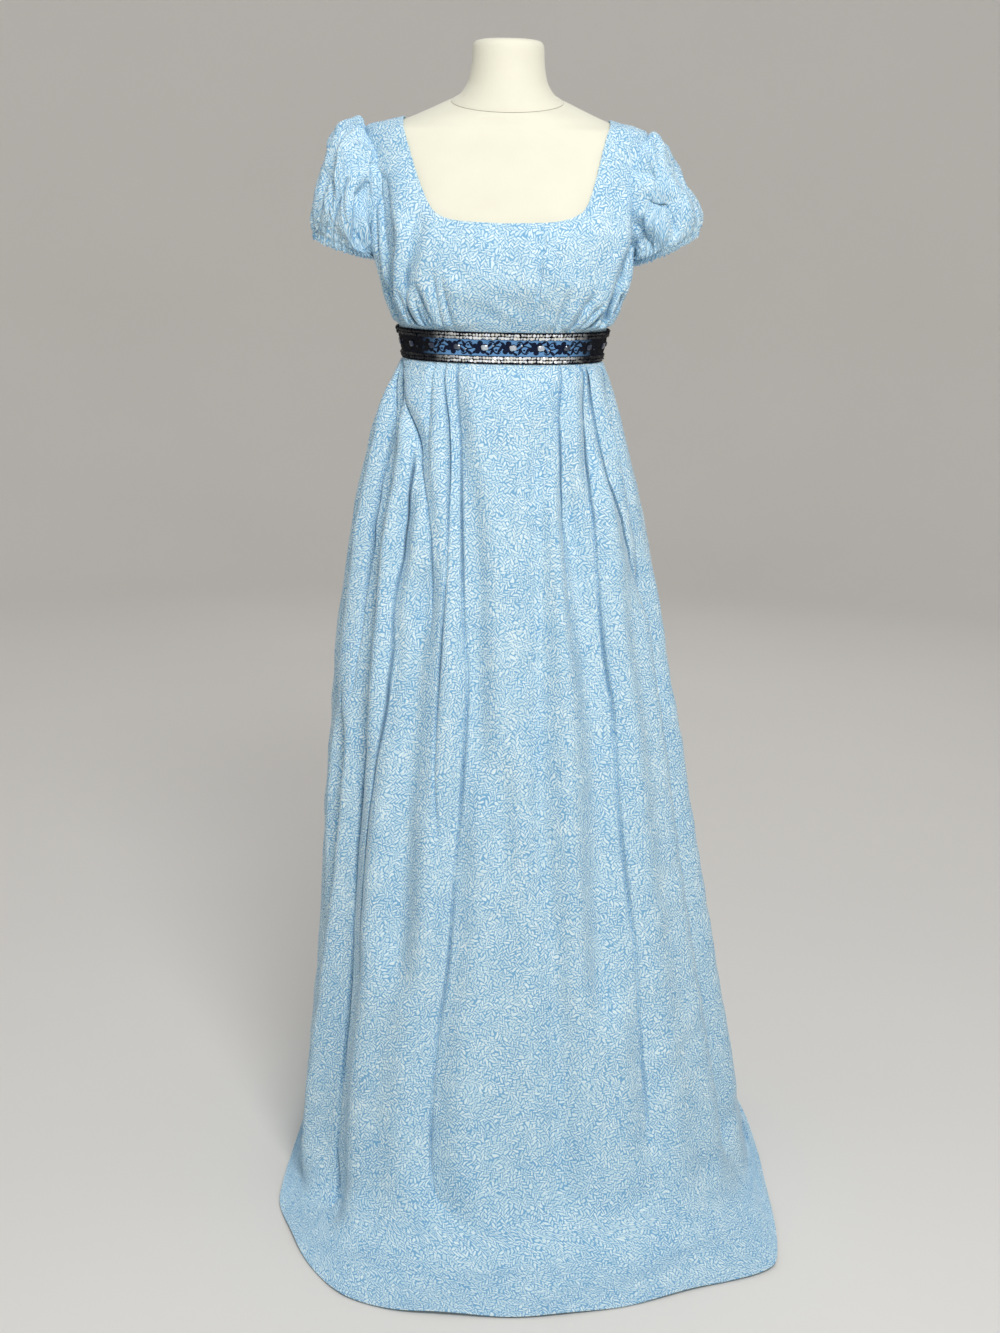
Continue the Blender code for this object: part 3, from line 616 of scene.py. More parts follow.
# skirt
skirt = {
    "frontColumns": 306, "backColumns": 132,
    "nearFold": 0.0040, "besideFold": 0.0085, "farFromFold": 0.0145, "foldReach": 0.011,    # column spacing, in quarters
    "tieLevel": 0.60, "leastApart": 0.018,
    "topRow": 0.003, "row": 0.0108, "hemRow": 0.0032,    # spacing of the rows under the band, lower down and by the hem
    "hemDepth": 0.025, "hemStep": 0.0006,
    "seamDip": 0.0012, "seamReach": 0.0025,
    "floorHeight": 0.0016, "floorWave": 0.0022,
    "sway": 0.0035, "crumple": 0.0007,                   # depth of the broad waves and of the small ones
    "swell": 0.0022,                                     # how far the gathers stand off just under the band
    "backGather": (0.0016, 0.0026), "backGatherLength": (0.04, 0.13), "backGatherSpacing": (0.055, 0.085),
    # height, half width to -X and to +X, depth in front and behind, squareness
    "rings": np.array([
        (1.128, 0.1390, 0.1385, 0.1100, 0.1050, 2.2), (1.095, 0.1510, 0.1465, 0.1210, 0.1210, 2.2),
        (1.020, 0.1715, 0.1680, 0.1360, 0.1430, 2.2), (0.940, 0.1905, 0.1895, 0.1530, 0.1650, 2.2),
        (0.850, 0.2040, 0.2080, 0.1700, 0.1850, 2.2), (0.750, 0.2180, 0.2265, 0.1880, 0.2030, 2.25),
        (0.640, 0.2245, 0.2505, 0.2090, 0.2230, 2.3), (0.520, 0.2330, 0.2725, 0.2310, 0.2450, 2.3),
        (0.400, 0.2380, 0.2960, 0.2510, 0.2660, 2.35), (0.280, 0.2440, 0.3200, 0.2710, 0.2860, 2.4),
        (0.170, 0.2530, 0.3430, 0.2890, 0.3040, 2.4), (0.080, 0.2590, 0.3600, 0.3070, 0.3180, 2.4),
        (0.030, 0.2645, 0.3730, 0.3300, 0.3310, 2.4), (0.010, 0.2680, 0.3800, 0.3540, 0.3410, 2.4),
    ]),
    "floorSteps": ((0.25, -0.024), (0.60, -0.072), (1.0, -0.127)),   # share of the way to the hem, level
    # share of the way round, x, y
    "hem": np.array([
        (0.000, 0.030, -0.494), (0.045, 0.150, -0.472), (0.100, 0.274, -0.417), (0.150, 0.384, -0.352),
        (0.185, 0.396, -0.250), (0.215, 0.398, -0.130), (0.250, 0.397, 0.000), (0.300, 0.388, 0.130),
        (0.350, 0.345, 0.245), (0.400, 0.255, 0.325), (0.450, 0.135, 0.358), (0.500, 0.020, 0.364),
        (0.550, -0.085, 0.356), (0.600, -0.180, 0.318), (0.650, -0.243, 0.240), (0.700, -0.272, 0.125),
        (0.750, -0.277, 0.000), (0.800, -0.282, -0.110), (0.835, -0.284, -0.200), (0.870, -0.257, -0.300),
        (0.900, -0.225, -0.380), (0.930, -0.168, -0.456), (0.960, -0.086, -0.487),
    ]),
    # track of (level, quarter) and the sizes that foldsOf names
    "frontFolds": [
        ([(1.145, -1.02), (1.11, -0.97), (0.95, -0.90), (0.60, -0.86), (0.20, -0.83)],
         0.0014, 0.0024, 0.0131, 0.009, 0.023, 0.0132, -0.12, 1.15, 0.02),
        ([(1.145, -0.97), (1.11, -0.90), (1.08, -0.84), (1.03, -0.80), (0.90, -0.775), (0.75, -0.735), (0.58, -0.715), (0.45, -0.725),
          (0.30, -0.75), (0.15, -0.78), (0.02, -0.80)],
         0.0020, 0.0040, 0.0240, 0.012, 0.022, 0.0200, -0.12, 0.70, -0.04),
        ([(1.145, -0.93), (1.11, -0.84), (1.08, -0.78), (1.03, -0.745), (0.90, -0.715), (0.75, -0.68), (0.60, -0.67)],
         0.0014, 0.0020, 0.0149, 0.009, 0.016, 0.0075, 0.12, 1.15, 0.66),
        ([(1.145, -0.89), (1.11, -0.77), (1.081, -0.715), (1.029, -0.68), (0.976, -0.655), (0.906, -0.649), (0.855, -0.629),
          (0.748, -0.601), (0.603, -0.584), (0.467, -0.586), (0.331, -0.577), (0.184, -0.586), (0.085, -0.584),
          (0.004, -0.524), (-0.10, -0.50)], 0.0016, 0.0036, 0.0210, 0.011, 0.034, 0.0225, 0.12, 1.16, -0.09),
        ([(1.145, -0.87), (1.11, -0.73), (1.02, -0.483), (0.966, -0.47), (0.892, -0.464), (0.85, -0.47), (0.757, -0.445),
          (0.706, -0.444), (0.619, -0.464), (0.523, -0.482), (0.44, -0.486), (0.362, -0.486), (0.282, -0.502), (0.196, -0.512),
          (0.10, -0.503), (0.01, -0.471)], 0.0014, 0.0024, 0.0150, 0.010, 0.025, 0.0132, -0.12, 1.03, -0.03),
        ([(1.145, -0.854), (1.11, -0.70), (1.02, -0.463), (0.968, -0.371), (0.91, -0.321), (0.80, -0.29)],
         0.0014, 0.0018, 0.0131, 0.009, 0.018, 0.0075, 0.12, 1.16, 0.76),
        ([(1.145, -0.862), (1.11, -0.715), (1.02, -0.473), (0.968, -0.42), (0.91, -0.375), (0.85, -0.345), (0.70, -0.335),
          (0.45, -0.33)], 0, 0, 0, 0.018, 0.026, 0.0187, 0, 0.92, 0.3),
        ([(1.15, -0.49), (1.079, -0.431), (1.027, -0.40), (0.97, -0.345), (0.91, -0.29), (0.85, -0.262), (0.60, -0.25)],
         0.0014, 0.0018, 0.0130, 0.007, 0.011, 0.0037, 0.12, 1.16, 0.96),
        ([(1.144, -0.406), (1.058, -0.303), (0.97, -0.256), (0.853, -0.232), (0.779, -0.228), (0.642, -0.224),
          (0.533, -0.194)], 0.0014, 0.0020, 0.0131, 0.009, 0.021, 0.0075, 0.12, 1.16, 0.46),
        ([(1.148, -0.312), (1.044, -0.224), (0.928, -0.173), (0.825, -0.142), (0.717, -0.108), (0.59, -0.114),
          (0.498, -0.128), (0.387, -0.135), (0.264, -0.164), (0.186, -0.171), (0.117, -0.168), (0.072, -0.152),
          (0.034, -0.059), (0.017, 0.024)], 0.0014, 0.0024, 0.0150, 0.011, 0.025, 0.0132, -0.12, 1.16, 0),
        ([(1.0, -0.13), (0.85, -0.075), (0.65, -0.045)], 0, 0, 0, 0.012, 0.016, 0.0106, 0, 1.06, 0.55),
        ([(0.65, 0.03), (0.50, 0.026)], 0, 0, 0, 0.016, 0.016, 0.0079, 0, 0.7, 0.45),
        ([(1.05, 0.22), (0.85, 0.20), (0.60, 0.17), (0.35, 0.195), (0.02, 0.19)],
         0, 0, 0, 0.013, 0.020, 0.0106, 0, 1.1, -0.01),
        ([(1.145, 0.413), (1.075, 0.354), (0.988, 0.334), (0.914, 0.328), (0.84, 0.327)],
         0.0014, 0.0018, 0.0130, 0.009, 0.016, 0.0056, -0.12, 1.16, 0.74),
        ([(0.987, 0.373), (0.839, 0.389), (0.714, 0.396), (0.587, 0.382), (0.458, 0.362), (0.36, 0.35)],
         0, 0, 0, 0.016, 0.028, 0.0238, 0, 1.04, 0.26),
        ([(1.132, 0.59), (1.059, 0.539), (0.971, 0.497), (0.867, 0.482), (0.792, 0.478), (0.711, 0.482), (0.601, 0.464),
          (0.49, 0.455), (0.396, 0.454), (0.314, 0.449), (0.244, 0.444), (0.184, 0.44), (0.10, 0.436)],
         0.0014, 0.0024, 0.0149, 0.011, 0.023, 0.0112, -0.12, 1.16, 0.05),
        ([(1.14, 0.62), (1.048, 0.64), (0.997, 0.67), (0.95, 0.714), (0.904, 0.73), (0.75, 0.76)],
         0.0014, 0.0018, 0.0131, 0.011, 0.021, 0.0112, 0.12, 1.15, 0.78),
        ([(1.14, 0.70), (1.08, 0.77), (1.00, 0.82), (0.85, 0.86), (0.65, 0.87)],
         0.0014, 0.0020, 0.0120, 0.010, 0.020, 0.0120, 0.12, 1.15, 0.66),
        ([(0.80, 0.82), (0.60, 0.80), (0.35, 0.78), (0.10, 0.78)], 0, 0, 0, 0.016, 0.032, 0.0238, 0, 0.9, 0),
    ],
    "backFolds": [
        ([(1.14, 1.10), (0.90, 1.13), (0.50, 1.16), (0.0, 1.18)],
         0.0014, 0.0024, 0.0150, 0.010, 0.032, 0.0225, 0.12, 1.16, -0.08),
        ([(1.14, 1.30), (0.80, 1.31), (0.30, 1.33), (0.0, 1.33)],
         0.0014, 0.0024, 0.0131, 0.009, 0.023, 0.0112, -0.12, 1.16, 0.2),
        ([(1.14, 1.46), (0.90, 1.49), (0.40, 1.52), (0.0, 1.50)],
         0.0014, 0.0024, 0.0150, 0.011, 0.034, 0.0263, 0.12, 1.16, -0.06),
        ([(1.14, 1.61), (0.70, 1.65), (0.20, 1.67)], 0.0014, 0.0024, 0.0131, 0.009, 0.023, 0.0112, -0.12, 1.16, 0.34),
        ([(1.14, 1.77), (0.80, 1.81), (0.30, 1.84), (0.0, 1.83)],
         0.0014, 0.0024, 0.0150, 0.010, 0.032, 0.0244, -0.12, 1.16, -0.07),
        ([(1.14, 1.90), (0.80, 1.925), (0.45, 1.93)], 0.0014, 0.0020, 0.0130, 0.008, 0.016, 0.0095, 0.12, 1.16, 0.52),
        ([(1.14, -1.11), (0.85, -1.12), (0.45, -1.17), (0.0, -1.16)],
         0.0014, 0.0024, 0.0150, 0.010, 0.030, 0.0205, -0.12, 1.16, -0.05),
        ([(1.14, -1.25), (0.90, -1.27), (0.55, -1.30)], 0.0014, 0.0024, 0.0130, 0.009, 0.021, 0.0095, 0.12, 1.16, 0.46),
        ([(1.14, -1.42), (0.80, -1.46), (0.35, -1.50), (0.0, -1.51)],
         0.0014, 0.0024, 0.0150, 0.011, 0.034, 0.0263, 0.12, 1.16, -0.08),
        ([(1.14, -1.58), (0.75, -1.62), (0.25, -1.66)],
         0.0014, 0.0024, 0.0149, 0.009, 0.025, 0.0112, -0.12, 1.16, 0.12),
        ([(1.14, -1.74), (0.85, -1.79), (0.40, -1.83), (0.0, -1.82)],
         0.0014, 0.0024, 0.0150, 0.010, 0.031, 0.0225, 0.12, 1.16, -0.06),
        ([(1.14, -1.88), (0.80, -1.91), (0.55, -1.92)], 0.0014, 0.0020, 0.0130, 0.008, 0.016, 0.0075, -0.12, 1.16, 0.6),
    ],
    # gathers at the band: quarter, length, height, half width
    "gathers": [
        (-0.93, 0.05, 0.0022, 0.0030), (-0.86, 0.09, 0.0030, 0.0034), (-0.79, 0.06, 0.0027, 0.0030),
        (-0.725, 0.11, 0.0032, 0.0034), (-0.655, 0.07, 0.0030, 0.0030), (-0.60, 0.10, 0.0030, 0.0032),
        (-0.53, 0.06, 0.0027, 0.0030), (-0.455, 0.09, 0.0030, 0.0032), (-0.37, 0.06, 0.0024, 0.0030),
        (-0.28, 0.04, 0.0016, 0.0030), (0.37, 0.05, 0.0019, 0.0030), (0.445, 0.08, 0.0027, 0.0032),
        (0.51, 0.05, 0.0024, 0.0028), (0.565, 0.09, 0.0030, 0.0032), (0.625, 0.06, 0.0027, 0.0030),
        (0.69, 0.10, 0.0032, 0.0034), (0.76, 0.07, 0.0027, 0.0030), (0.84, 0.09, 0.0027, 0.0032),
        (0.92, 0.05, 0.0022, 0.0030),
    ],
    # dents where the skirt breaks on the floor: quarter, level, half length along the girth, half height, depth
    "dents": [(-0.10, 0.045, 0.050, 0.020, 0.008), (0.38, 0.050, 0.040, 0.016, 0.006), (0.62, 0.060, 0.035, 0.018, 0.007),
              (0.82, 0.075, 0.045, 0.022, 0.009), (-0.40, 0.050, 0.035, 0.016, 0.006), (1.25, 0.06, 0.04, 0.02, 0.007),
              (1.70, 0.055, 0.05, 0.02, 0.007), (-1.30, 0.06, 0.05, 0.02, 0.007), (-1.66, 0.05, 0.04, 0.02, 0.006)],
}


def skirtBase(quarters):
    # control rings from the seam under the bust down to the hem, then smooth rows between them
    rings, levels = [], []
    for height in (gown["waistSeam"], gown["bandBottom"]):
        rings.append(bodyOffset(height, quarters, gown["ease"]))
        levels.append(height)
    for height, *sizes in skirt["rings"]:
        flat = ringPoints(*sizes, quarters)
        rings.append(np.column_stack([flat, np.full(len(quarters), height)]))
        levels.append(height)
    rim = skirt["hem"]
    rim = np.concatenate([rim[-3:] - (1, 0, 0), rim, rim[:3] + (1, 0, 0)])
    hem = smoothAt(rim[:, 0], rim[:, 1:], (quarters / 4) % 1.0)
    last = rings[-1][:, :2]
    for share, level in skirt["floorSteps"]:
        rings.append(np.column_stack([last + (hem - last) * share, np.full(len(quarters), skirt["floorHeight"])]))
        levels.append(level)
    rings = np.array(rings)
    down = columnLengths(rings).mean(axis=1)
    total = down[-1]
    rows = np.concatenate([np.arange(0.0, 0.060, skirt["topRow"]), np.arange(0.060, total - 0.045, skirt["row"]),
                           np.arange(total - 0.045, total - 0.001, skirt["hemRow"]), [total]])
    flat = smoothAt(down, rings.reshape(len(rings), -1), rows).reshape(len(rows), len(quarters), 3)
    return flat, np.interp(rows, down, levels), total - rows


def followFolds(folds, level):
    # where each column runs on each row: a column that starts on a fold stays on it all the way down
    def spread(quarters):
        for number in range(1, len(quarters)):
            quarters[number] = max(quarters[number], quarters[number - 1] + skirt["leastApart"])
        return quarters

    ties = {}
    for number, fold in enumerate(folds):
        ties[number] = (trackAt(fold, skirt["tieLevel"])[0], trackAt(fold, level))
    order = sorted(ties, key=lambda number: ties[number][0])
    fixed = [-2.0, -1.0, 1.0, 2.0]
    at, paths = [], []
    for low, high in zip(fixed[:-1], fixed[1:]):
        between = [number for number in order if low < ties[number][0] < high]
        at += [low] + list(spread(np.array([ties[number][0] for number in between])))
        paths += [np.full(len(level), low)] + [ties[number][1] for number in between]
    at, paths = np.array(at + [2.0]), np.array(paths + [np.full(len(level), 2.0)])
    for low, high in zip(fixed[:-1], fixed[1:]):
        chosen = np.flatnonzero((at > low) & (at < high))
        for row in range(len(level)):
            paths[chosen, row] = np.clip(spread(paths[chosen, row]), low + 0.01, high - 0.01)
    inner = at[~np.isin(at, fixed)]
    places = np.empty(len(folds))
    places[order] = inner
    columns = []
    for low, high, count in ((-2.0, -1.0, skirt["backColumns"]), (-1.0, 1.0, skirt["frontColumns"]),
                             (1.0, 2.0, skirt["backColumns"])):
        fine = np.linspace(low, high, 4000)
        gap = np.abs(fine[:, None] - inner).min(axis=1)
        spacing = np.where(gap < skirt["foldReach"], skirt["nearFold"],
                           np.where(gap < 3 * skirt["foldReach"], skirt["besideFold"], skirt["farFromFold"]))
        walked = np.concatenate([[0.0], np.cumsum(1 / spacing[1:])])
        columns.append(np.interp(np.linspace(0.0, walked[-1], count + 1), walked, fine)[:-1])
    columns = np.concatenate(columns + [[2.0]])
    return columns, np.array([smoothAt(at, paths[:, row], columns) for row in range(len(level))]), places


def makeSkirt():
    fine = np.linspace(-2.0, 2.0, 1201)
    smooth, level, toHem = skirtBase(fine)
    folds = skirt["frontFolds"] + skirt["backFolds"]
    columns, quarterOf, places = followFolds(folds, level)
    base = np.array([[np.interp(quarterOf[row], fine, smooth[row, :, axis]) for axis in range(3)]
                     for row in range(len(level))]).transpose(0, 2, 1)
    smoothNormals = gridNormals(smooth)
    normals = np.array([[np.interp(quarterOf[row], fine, smoothNormals[row, :, axis]) for axis in range(3)]
                        for row in range(len(level))]).transpose(0, 2, 1)
    normals /= np.linalg.norm(normals, axis=2)[:, :, None]
    lengths = rowLengths(base)
    inward, sideways = foldsOf(folds, places, base, level, columns, wraps=True, facing=turnAway)

    def lengthAt(quarter):   # metres along each row to a quarter
        return np.array([np.interp(quarter, quarterOf[row], lengths[row]) for row in range(len(level))])[:, None]

    draw = random.Random(11)
    gathers = list(skirt["gathers"])
    place = 1.04
    while place < 1.97:    # the back is gathered evenly, in pairs on both sides of its middle
        gathers.append((place, draw.uniform(*skirt["backGatherLength"]), draw.uniform(*skirt["backGather"]),
                        draw.uniform(0.0028, 0.0038)))
        gathers.append((-place - draw.uniform(-0.02, 0.02), draw.uniform(*skirt["backGatherLength"]),
                        draw.uniform(*skirt["backGather"]), 0.0032))
        place += draw.uniform(*skirt["backGatherSpacing"])
    outward = np.zeros(base.shape[:2])
    for quarter, length, height, width in gathers:
        middle = lengthAt(quarter)[:, 0]
        below = np.clip((gown["bandBottom"] - level) / length, 0.0, 1.0)
        spread = width * (1 + 2.2 * below)
        outward += (height * (1 - below) ** 1.5)[:, None] * np.exp(-((lengths - middle[:, None]) / spread[:, None]) ** 2)

    for quarter, dentLevel, reach, tall, depth in skirt["dents"]:
        inward += depth * np.exp(-((lengths - lengthAt(quarter)) / reach) ** 2 - ((level - dentLevel) / tall)[:, None] ** 2)

    drop = smoothStep(1.12, 0.35, level)[:, None]
    inward += skirt["sway"] * drop * ripples(quarterOf * 0.9, (level * 0.18)[:, None], 0.42, 5)
    inward += skirt["crumple"] * ripples(lengths, level[:, None], 0.060, 6) * smoothStep(1.14, 1.08, level)[:, None]
    fromBack = np.minimum(lengths, lengths[:, -1:] - lengths)
    for fromSeam in (lengths - lengthAt(-1.0), lengths - lengthAt(1.0), fromBack):
        inward += skirt["seamDip"] * np.exp(-(fromSeam / skirt["seamReach"]) ** 2) * smoothStep(1.14, 1.12, level)[:, None]

    swell = (skirt["swell"] * smoothStep(1.1465, 1.139, level) * smoothStep(1.02, 1.12, level))[:, None]
    room = smoothAt([1.0, 1.10, 1.128, 1.142, 1.147], [0.050, 0.020, 0.012, 0.0050, 0.0004], level)[:, None]
    inward = np.where(inward > 0, room * np.tanh(inward / room), inward * smoothStep(1.146, 1.12, level)[:, None])
    free = smoothStep(gown["bandBottom"] + 0.0005, gown["bandBottom"] - 0.006, level)[:, None]
    onFloor = smoothStep(0.03, -0.02, level)[:, None]
    inward = (inward - outward) * free * (1 - 0.75 * onFloor) - swell
    inward -= skirt["hemStep"] * (1 - smoothStep(skirt["hemDepth"] - 0.0015, skirt["hemDepth"] + 0.0015, toHem))[:, None]
    made = displaced(base, normals, inward, sideways * free * (1 - 0.6 * onFloor))
    lift = skirt["floorWave"] * (1 + ripples(lengths, level[:, None], 0.16, 21, 5)) * smoothStep(0.0, -0.05, level)[:, None]
    made[:, :, 2] = np.maximum(made[:, :, 2] + np.maximum(lift, 0), skirt["floorHeight"] - 0.0002)
    made[:, -1] = made[:, 0]

    pieces = {}
    edge = skirt["backColumns"]
    for name, start, end in (("skirt_front", edge, edge + skirt["frontColumns"]),
                             ("skirt_back_left", edge + skirt["frontColumns"], len(columns) - 1),
                             ("skirt_back_right", 0, edge)):
        panel = made[:, start:end + 1]
        middle = int(np.abs(columns[start:end + 1] - (columns[start] + columns[end]) / 2).argmin())
        piece = gridPiece(name + "_cloth", panel, coneUv(panel, middle), printedCotton)
        giveWall(piece, gown["cottonThickness"])
        claim(piece, "printed_cotton", name)
        reportCut(name, panel)
        pieces[name] = piece
    return pieces


skirtPieces = makeSkirt()
print("skirt made")

# bodice
bodice = {
    "frontColumns": 330, "backColumns": 116, "row": 0.0025, "top": 1.468, "deepest": 0.0014,
    "loose": 0.0006, "looseSize": 0.045,                        # small waves all over
    "gathered": [(-0.58, 0.26), (0.60, 0.24)], "closer": 2.6,    # where the columns stand closer: quarter, half width
    "neckSides": [(1.333, 0.085, 0.088), (1.344, 0.097, 0.105), (1.380, 0.113, 0.116), (1.430, 0.130, 0.127),
                  (1.454, 0.136, 0.136), (1.490, 0.138, 0.138)],
    "neckEdge": [(-0.064, 1.3265), (0.010, 1.3245), (0.064, 1.327)],
    "backNeck": [(0.0, 1.385), (0.096, 1.387), (0.112, 1.401), (0.136, 1.454), (0.138, 1.490)],
    # how far the cloth stands off where it is gathered: level, quarter, spread up and round, height
    "fullness": [(1.212, -0.50, 0.050, 0.24, 0.0084), (1.290, -0.70, 0.075, 0.15, 0.0092),
                 (1.212, 0.58, 0.042, 0.24, 0.0074), (1.265, 0.74, 0.060, 0.16, 0.0082), (1.285, 0.19, 0.05, 0.12, 0.0046),
                 (1.20, 1.35, 0.03, 0.40, 0.0036), (1.20, -1.35, 0.03, 0.40, 0.0036)],
    # track of (level, quarter) and the sizes that foldsOf names
    "folds": [
        ([(1.188, -0.315), (1.214, -0.32), (1.255, -0.33)],
         0.0017, 0.0022, 0.0057, 0.0048, 0.0066, 0.0022, 0.18, 1.17, 1.27),
        ([(1.188, -0.375), (1.217, -0.375), (1.258, -0.375)],
         0.0017, 0.0022, 0.0064, 0.0048, 0.0066, 0.0023, 0.18, 1.17, 1.27),
        ([(1.188, -0.425), (1.213, -0.445), (1.245, -0.48)],
         0.0017, 0.0022, 0.0077, 0.0048, 0.0075, 0.0030, 0.18, 1.17, 1.26),
        ([(1.187, -0.53), (1.215, -0.565), (1.253, -0.525), (1.287, -0.485), (1.327, -0.465)],
         0.0017, 0.0028, 0.0106, 0.0057, 0.0110, 0.0046, -0.3, 1.17, 1.34),
        ([(1.186, -0.605), (1.207, -0.635), (1.231, -0.64), (1.266, -0.605), (1.30, -0.585), (1.326, -0.62)],
         0.0017, 0.0025, 0.0106, 0.0057, 0.0099, 0.0046, -0.3, 1.17, 1.34),
        ([(1.186, -0.48), (1.21, -0.50), (1.24, -0.50)], 0.0017, 0.0022, 0.0077, 0.0044, 0.0066, 0.0030, 0, 1.17, 1.25),
        ([(1.186, -0.57), (1.21, -0.60), (1.235, -0.585)],
         0.0017, 0.0022, 0.0077, 0.0044, 0.0062, 0.0030, 0, 1.17, 1.25),
        ([(1.186, -0.68), (1.22, -0.69), (1.26, -0.655), (1.31, -0.64), (1.36, -0.70)],
         0.0017, 0.0023, 0.0100, 0.0053, 0.0092, 0.0038, 0.24, 1.17, 1.38),
        ([(1.195, -0.74), (1.223, -0.735), (1.258, -0.69), (1.299, -0.67), (1.333, -0.675), (1.373, -0.745)],
         0.0044, 0.0058, 0.0150, 0.0110, 0.0170, 0.0095, 0.30, 1.17, 1.39),
        ([(1.186, -0.82), (1.23, -0.80), (1.28, -0.77)],
         0.0017, 0.0022, 0.0085, 0.0053, 0.0088, 0.0031, 0.18, 1.17, 1.29),
        ([(1.186, -0.455), (1.215, -0.475), (1.24, -0.465)],
         0.0017, 0.0022, 0.0063, 0.0044, 0.0062, 0.0026, 0, 1.17, 1.25),
        ([(1.186, -0.64), (1.225, -0.665), (1.265, -0.63), (1.32, -0.60)],
         0.0017, 0.0023, 0.0077, 0.0050, 0.0080, 0.0031, 0.1, 1.17, 1.33),
        ([(1.186, -0.71), (1.225, -0.715), (1.28, -0.665), (1.36, -0.72)],
         0.0017, 0.0023, 0.0083, 0.0050, 0.0080, 0.0031, 0.1, 1.17, 1.37),
        ([(1.186, -0.775), (1.23, -0.765), (1.30, -0.73), (1.35, -0.76)],
         0.0017, 0.0023, 0.0075, 0.0050, 0.0080, 0.0029, 0.1, 1.17, 1.36),
        ([(1.188, 0.365), (1.213, 0.355), (1.235, 0.36)],
         0.0020, 0.0026, 0.0071, 0.0048, 0.0066, 0.0029, 0, 1.17, 1.25),
        ([(1.188, 0.44), (1.209, 0.46), (1.235, 0.505)],
         0.0020, 0.0026, 0.0095, 0.0048, 0.0075, 0.0038, 0.18, 1.17, 1.25),
        ([(1.188, 0.49), (1.209, 0.52), (1.235, 0.575)],
         0.0020, 0.0026, 0.0080, 0.0048, 0.0070, 0.0032, 0.18, 1.17, 1.245),
        ([(1.188, 0.54), (1.209, 0.59), (1.235, 0.65), (1.27, 0.69)],
         0.0020, 0.0030, 0.0133, 0.0048, 0.0079, 0.0046, 0.18, 1.17, 1.25),
        ([(1.188, 0.60), (1.209, 0.66), (1.240, 0.70)],
         0.0020, 0.0026, 0.0087, 0.0048, 0.0070, 0.0037, 0.18, 1.17, 1.25),
        ([(1.188, 0.67), (1.211, 0.735), (1.236, 0.75), (1.249, 0.785)],
         0.0020, 0.0026, 0.0119, 0.0048, 0.0079, 0.0054, 0.18, 1.17, 1.28),
        ([(1.188, 0.72), (1.215, 0.78), (1.26, 0.80), (1.31, 0.84)],
         0.0024, 0.0035, 0.0126, 0.0070, 0.0110, 0.0070, 0.18, 1.17, 1.33),
        ([(1.219, 0.67), (1.243, 0.685), (1.271, 0.705), (1.305, 0.785), (1.339, 0.82)],
         0.0046, 0.0060, 0.0165, 0.0110, 0.0160, 0.0110, 0.34, 1.2, 1.37),
        ([(1.245, 0.185), (1.278, 0.185), (1.301, 0.20)],
         0.0021, 0.0022, 0.0088, 0.0077, 0.0088, 0.0022, 0.24, 1.23, 1.32),
        ([(1.186, 1.12), (1.23, 1.10), (1.26, 1.09)], 0.0015, 0.0024, 0.0046, 0.0066, 0.0110, 0.0017, 0.12, 1.17, 1.27),
        ([(1.186, 1.30), (1.22, 1.31)], 0.0015, 0.0019, 0.0039, 0.0066, 0.0088, 0.0014, 0.0, 1.17, 1.23),
        ([(1.186, 1.46), (1.22, 1.45)], 0.0015, 0.0019, 0.0039, 0.0066, 0.0088, 0.0014, 0.0, 1.17, 1.24),
        ([(1.186, 1.62), (1.22, 1.61)], 0.0015, 0.0019, 0.0034, 0.0066, 0.0088, 0.0012, 0.0, 1.17, 1.23),
        ([(1.186, -1.10), (1.23, -1.08), (1.26, -1.07)],
         0.0015, 0.0024, 0.0046, 0.0066, 0.0110, 0.0017, -0.12, 1.17, 1.27),
        ([(1.186, -1.27), (1.22, -1.28)], 0.0015, 0.0019, 0.0039, 0.0066, 0.0088, 0.0014, 0.0, 1.17, 1.24),
        ([(1.186, -1.43), (1.22, -1.42)], 0.0015, 0.0019, 0.0036, 0.0066, 0.0088, 0.0012, 0.0, 1.17, 1.23),
        ([(1.186, -1.60), (1.22, -1.59)], 0.0015, 0.0019, 0.0036, 0.0066, 0.0088, 0.0012, 0.0, 1.17, 1.24),
    ],
}


def necklineOutlines():
    left = [(-minus, z) for z, minus, _ in reversed(bodice["neckSides"])]
    right = [(plus, z) for z, _, plus in bodice["neckSides"]]
    ahead = rounded(left + bodice["neckEdge"] + right)
    half = bodice["backNeck"]
    behind = rounded([(-x, z) for x, z in reversed(half[1:])] + half)
    return ahead, behind


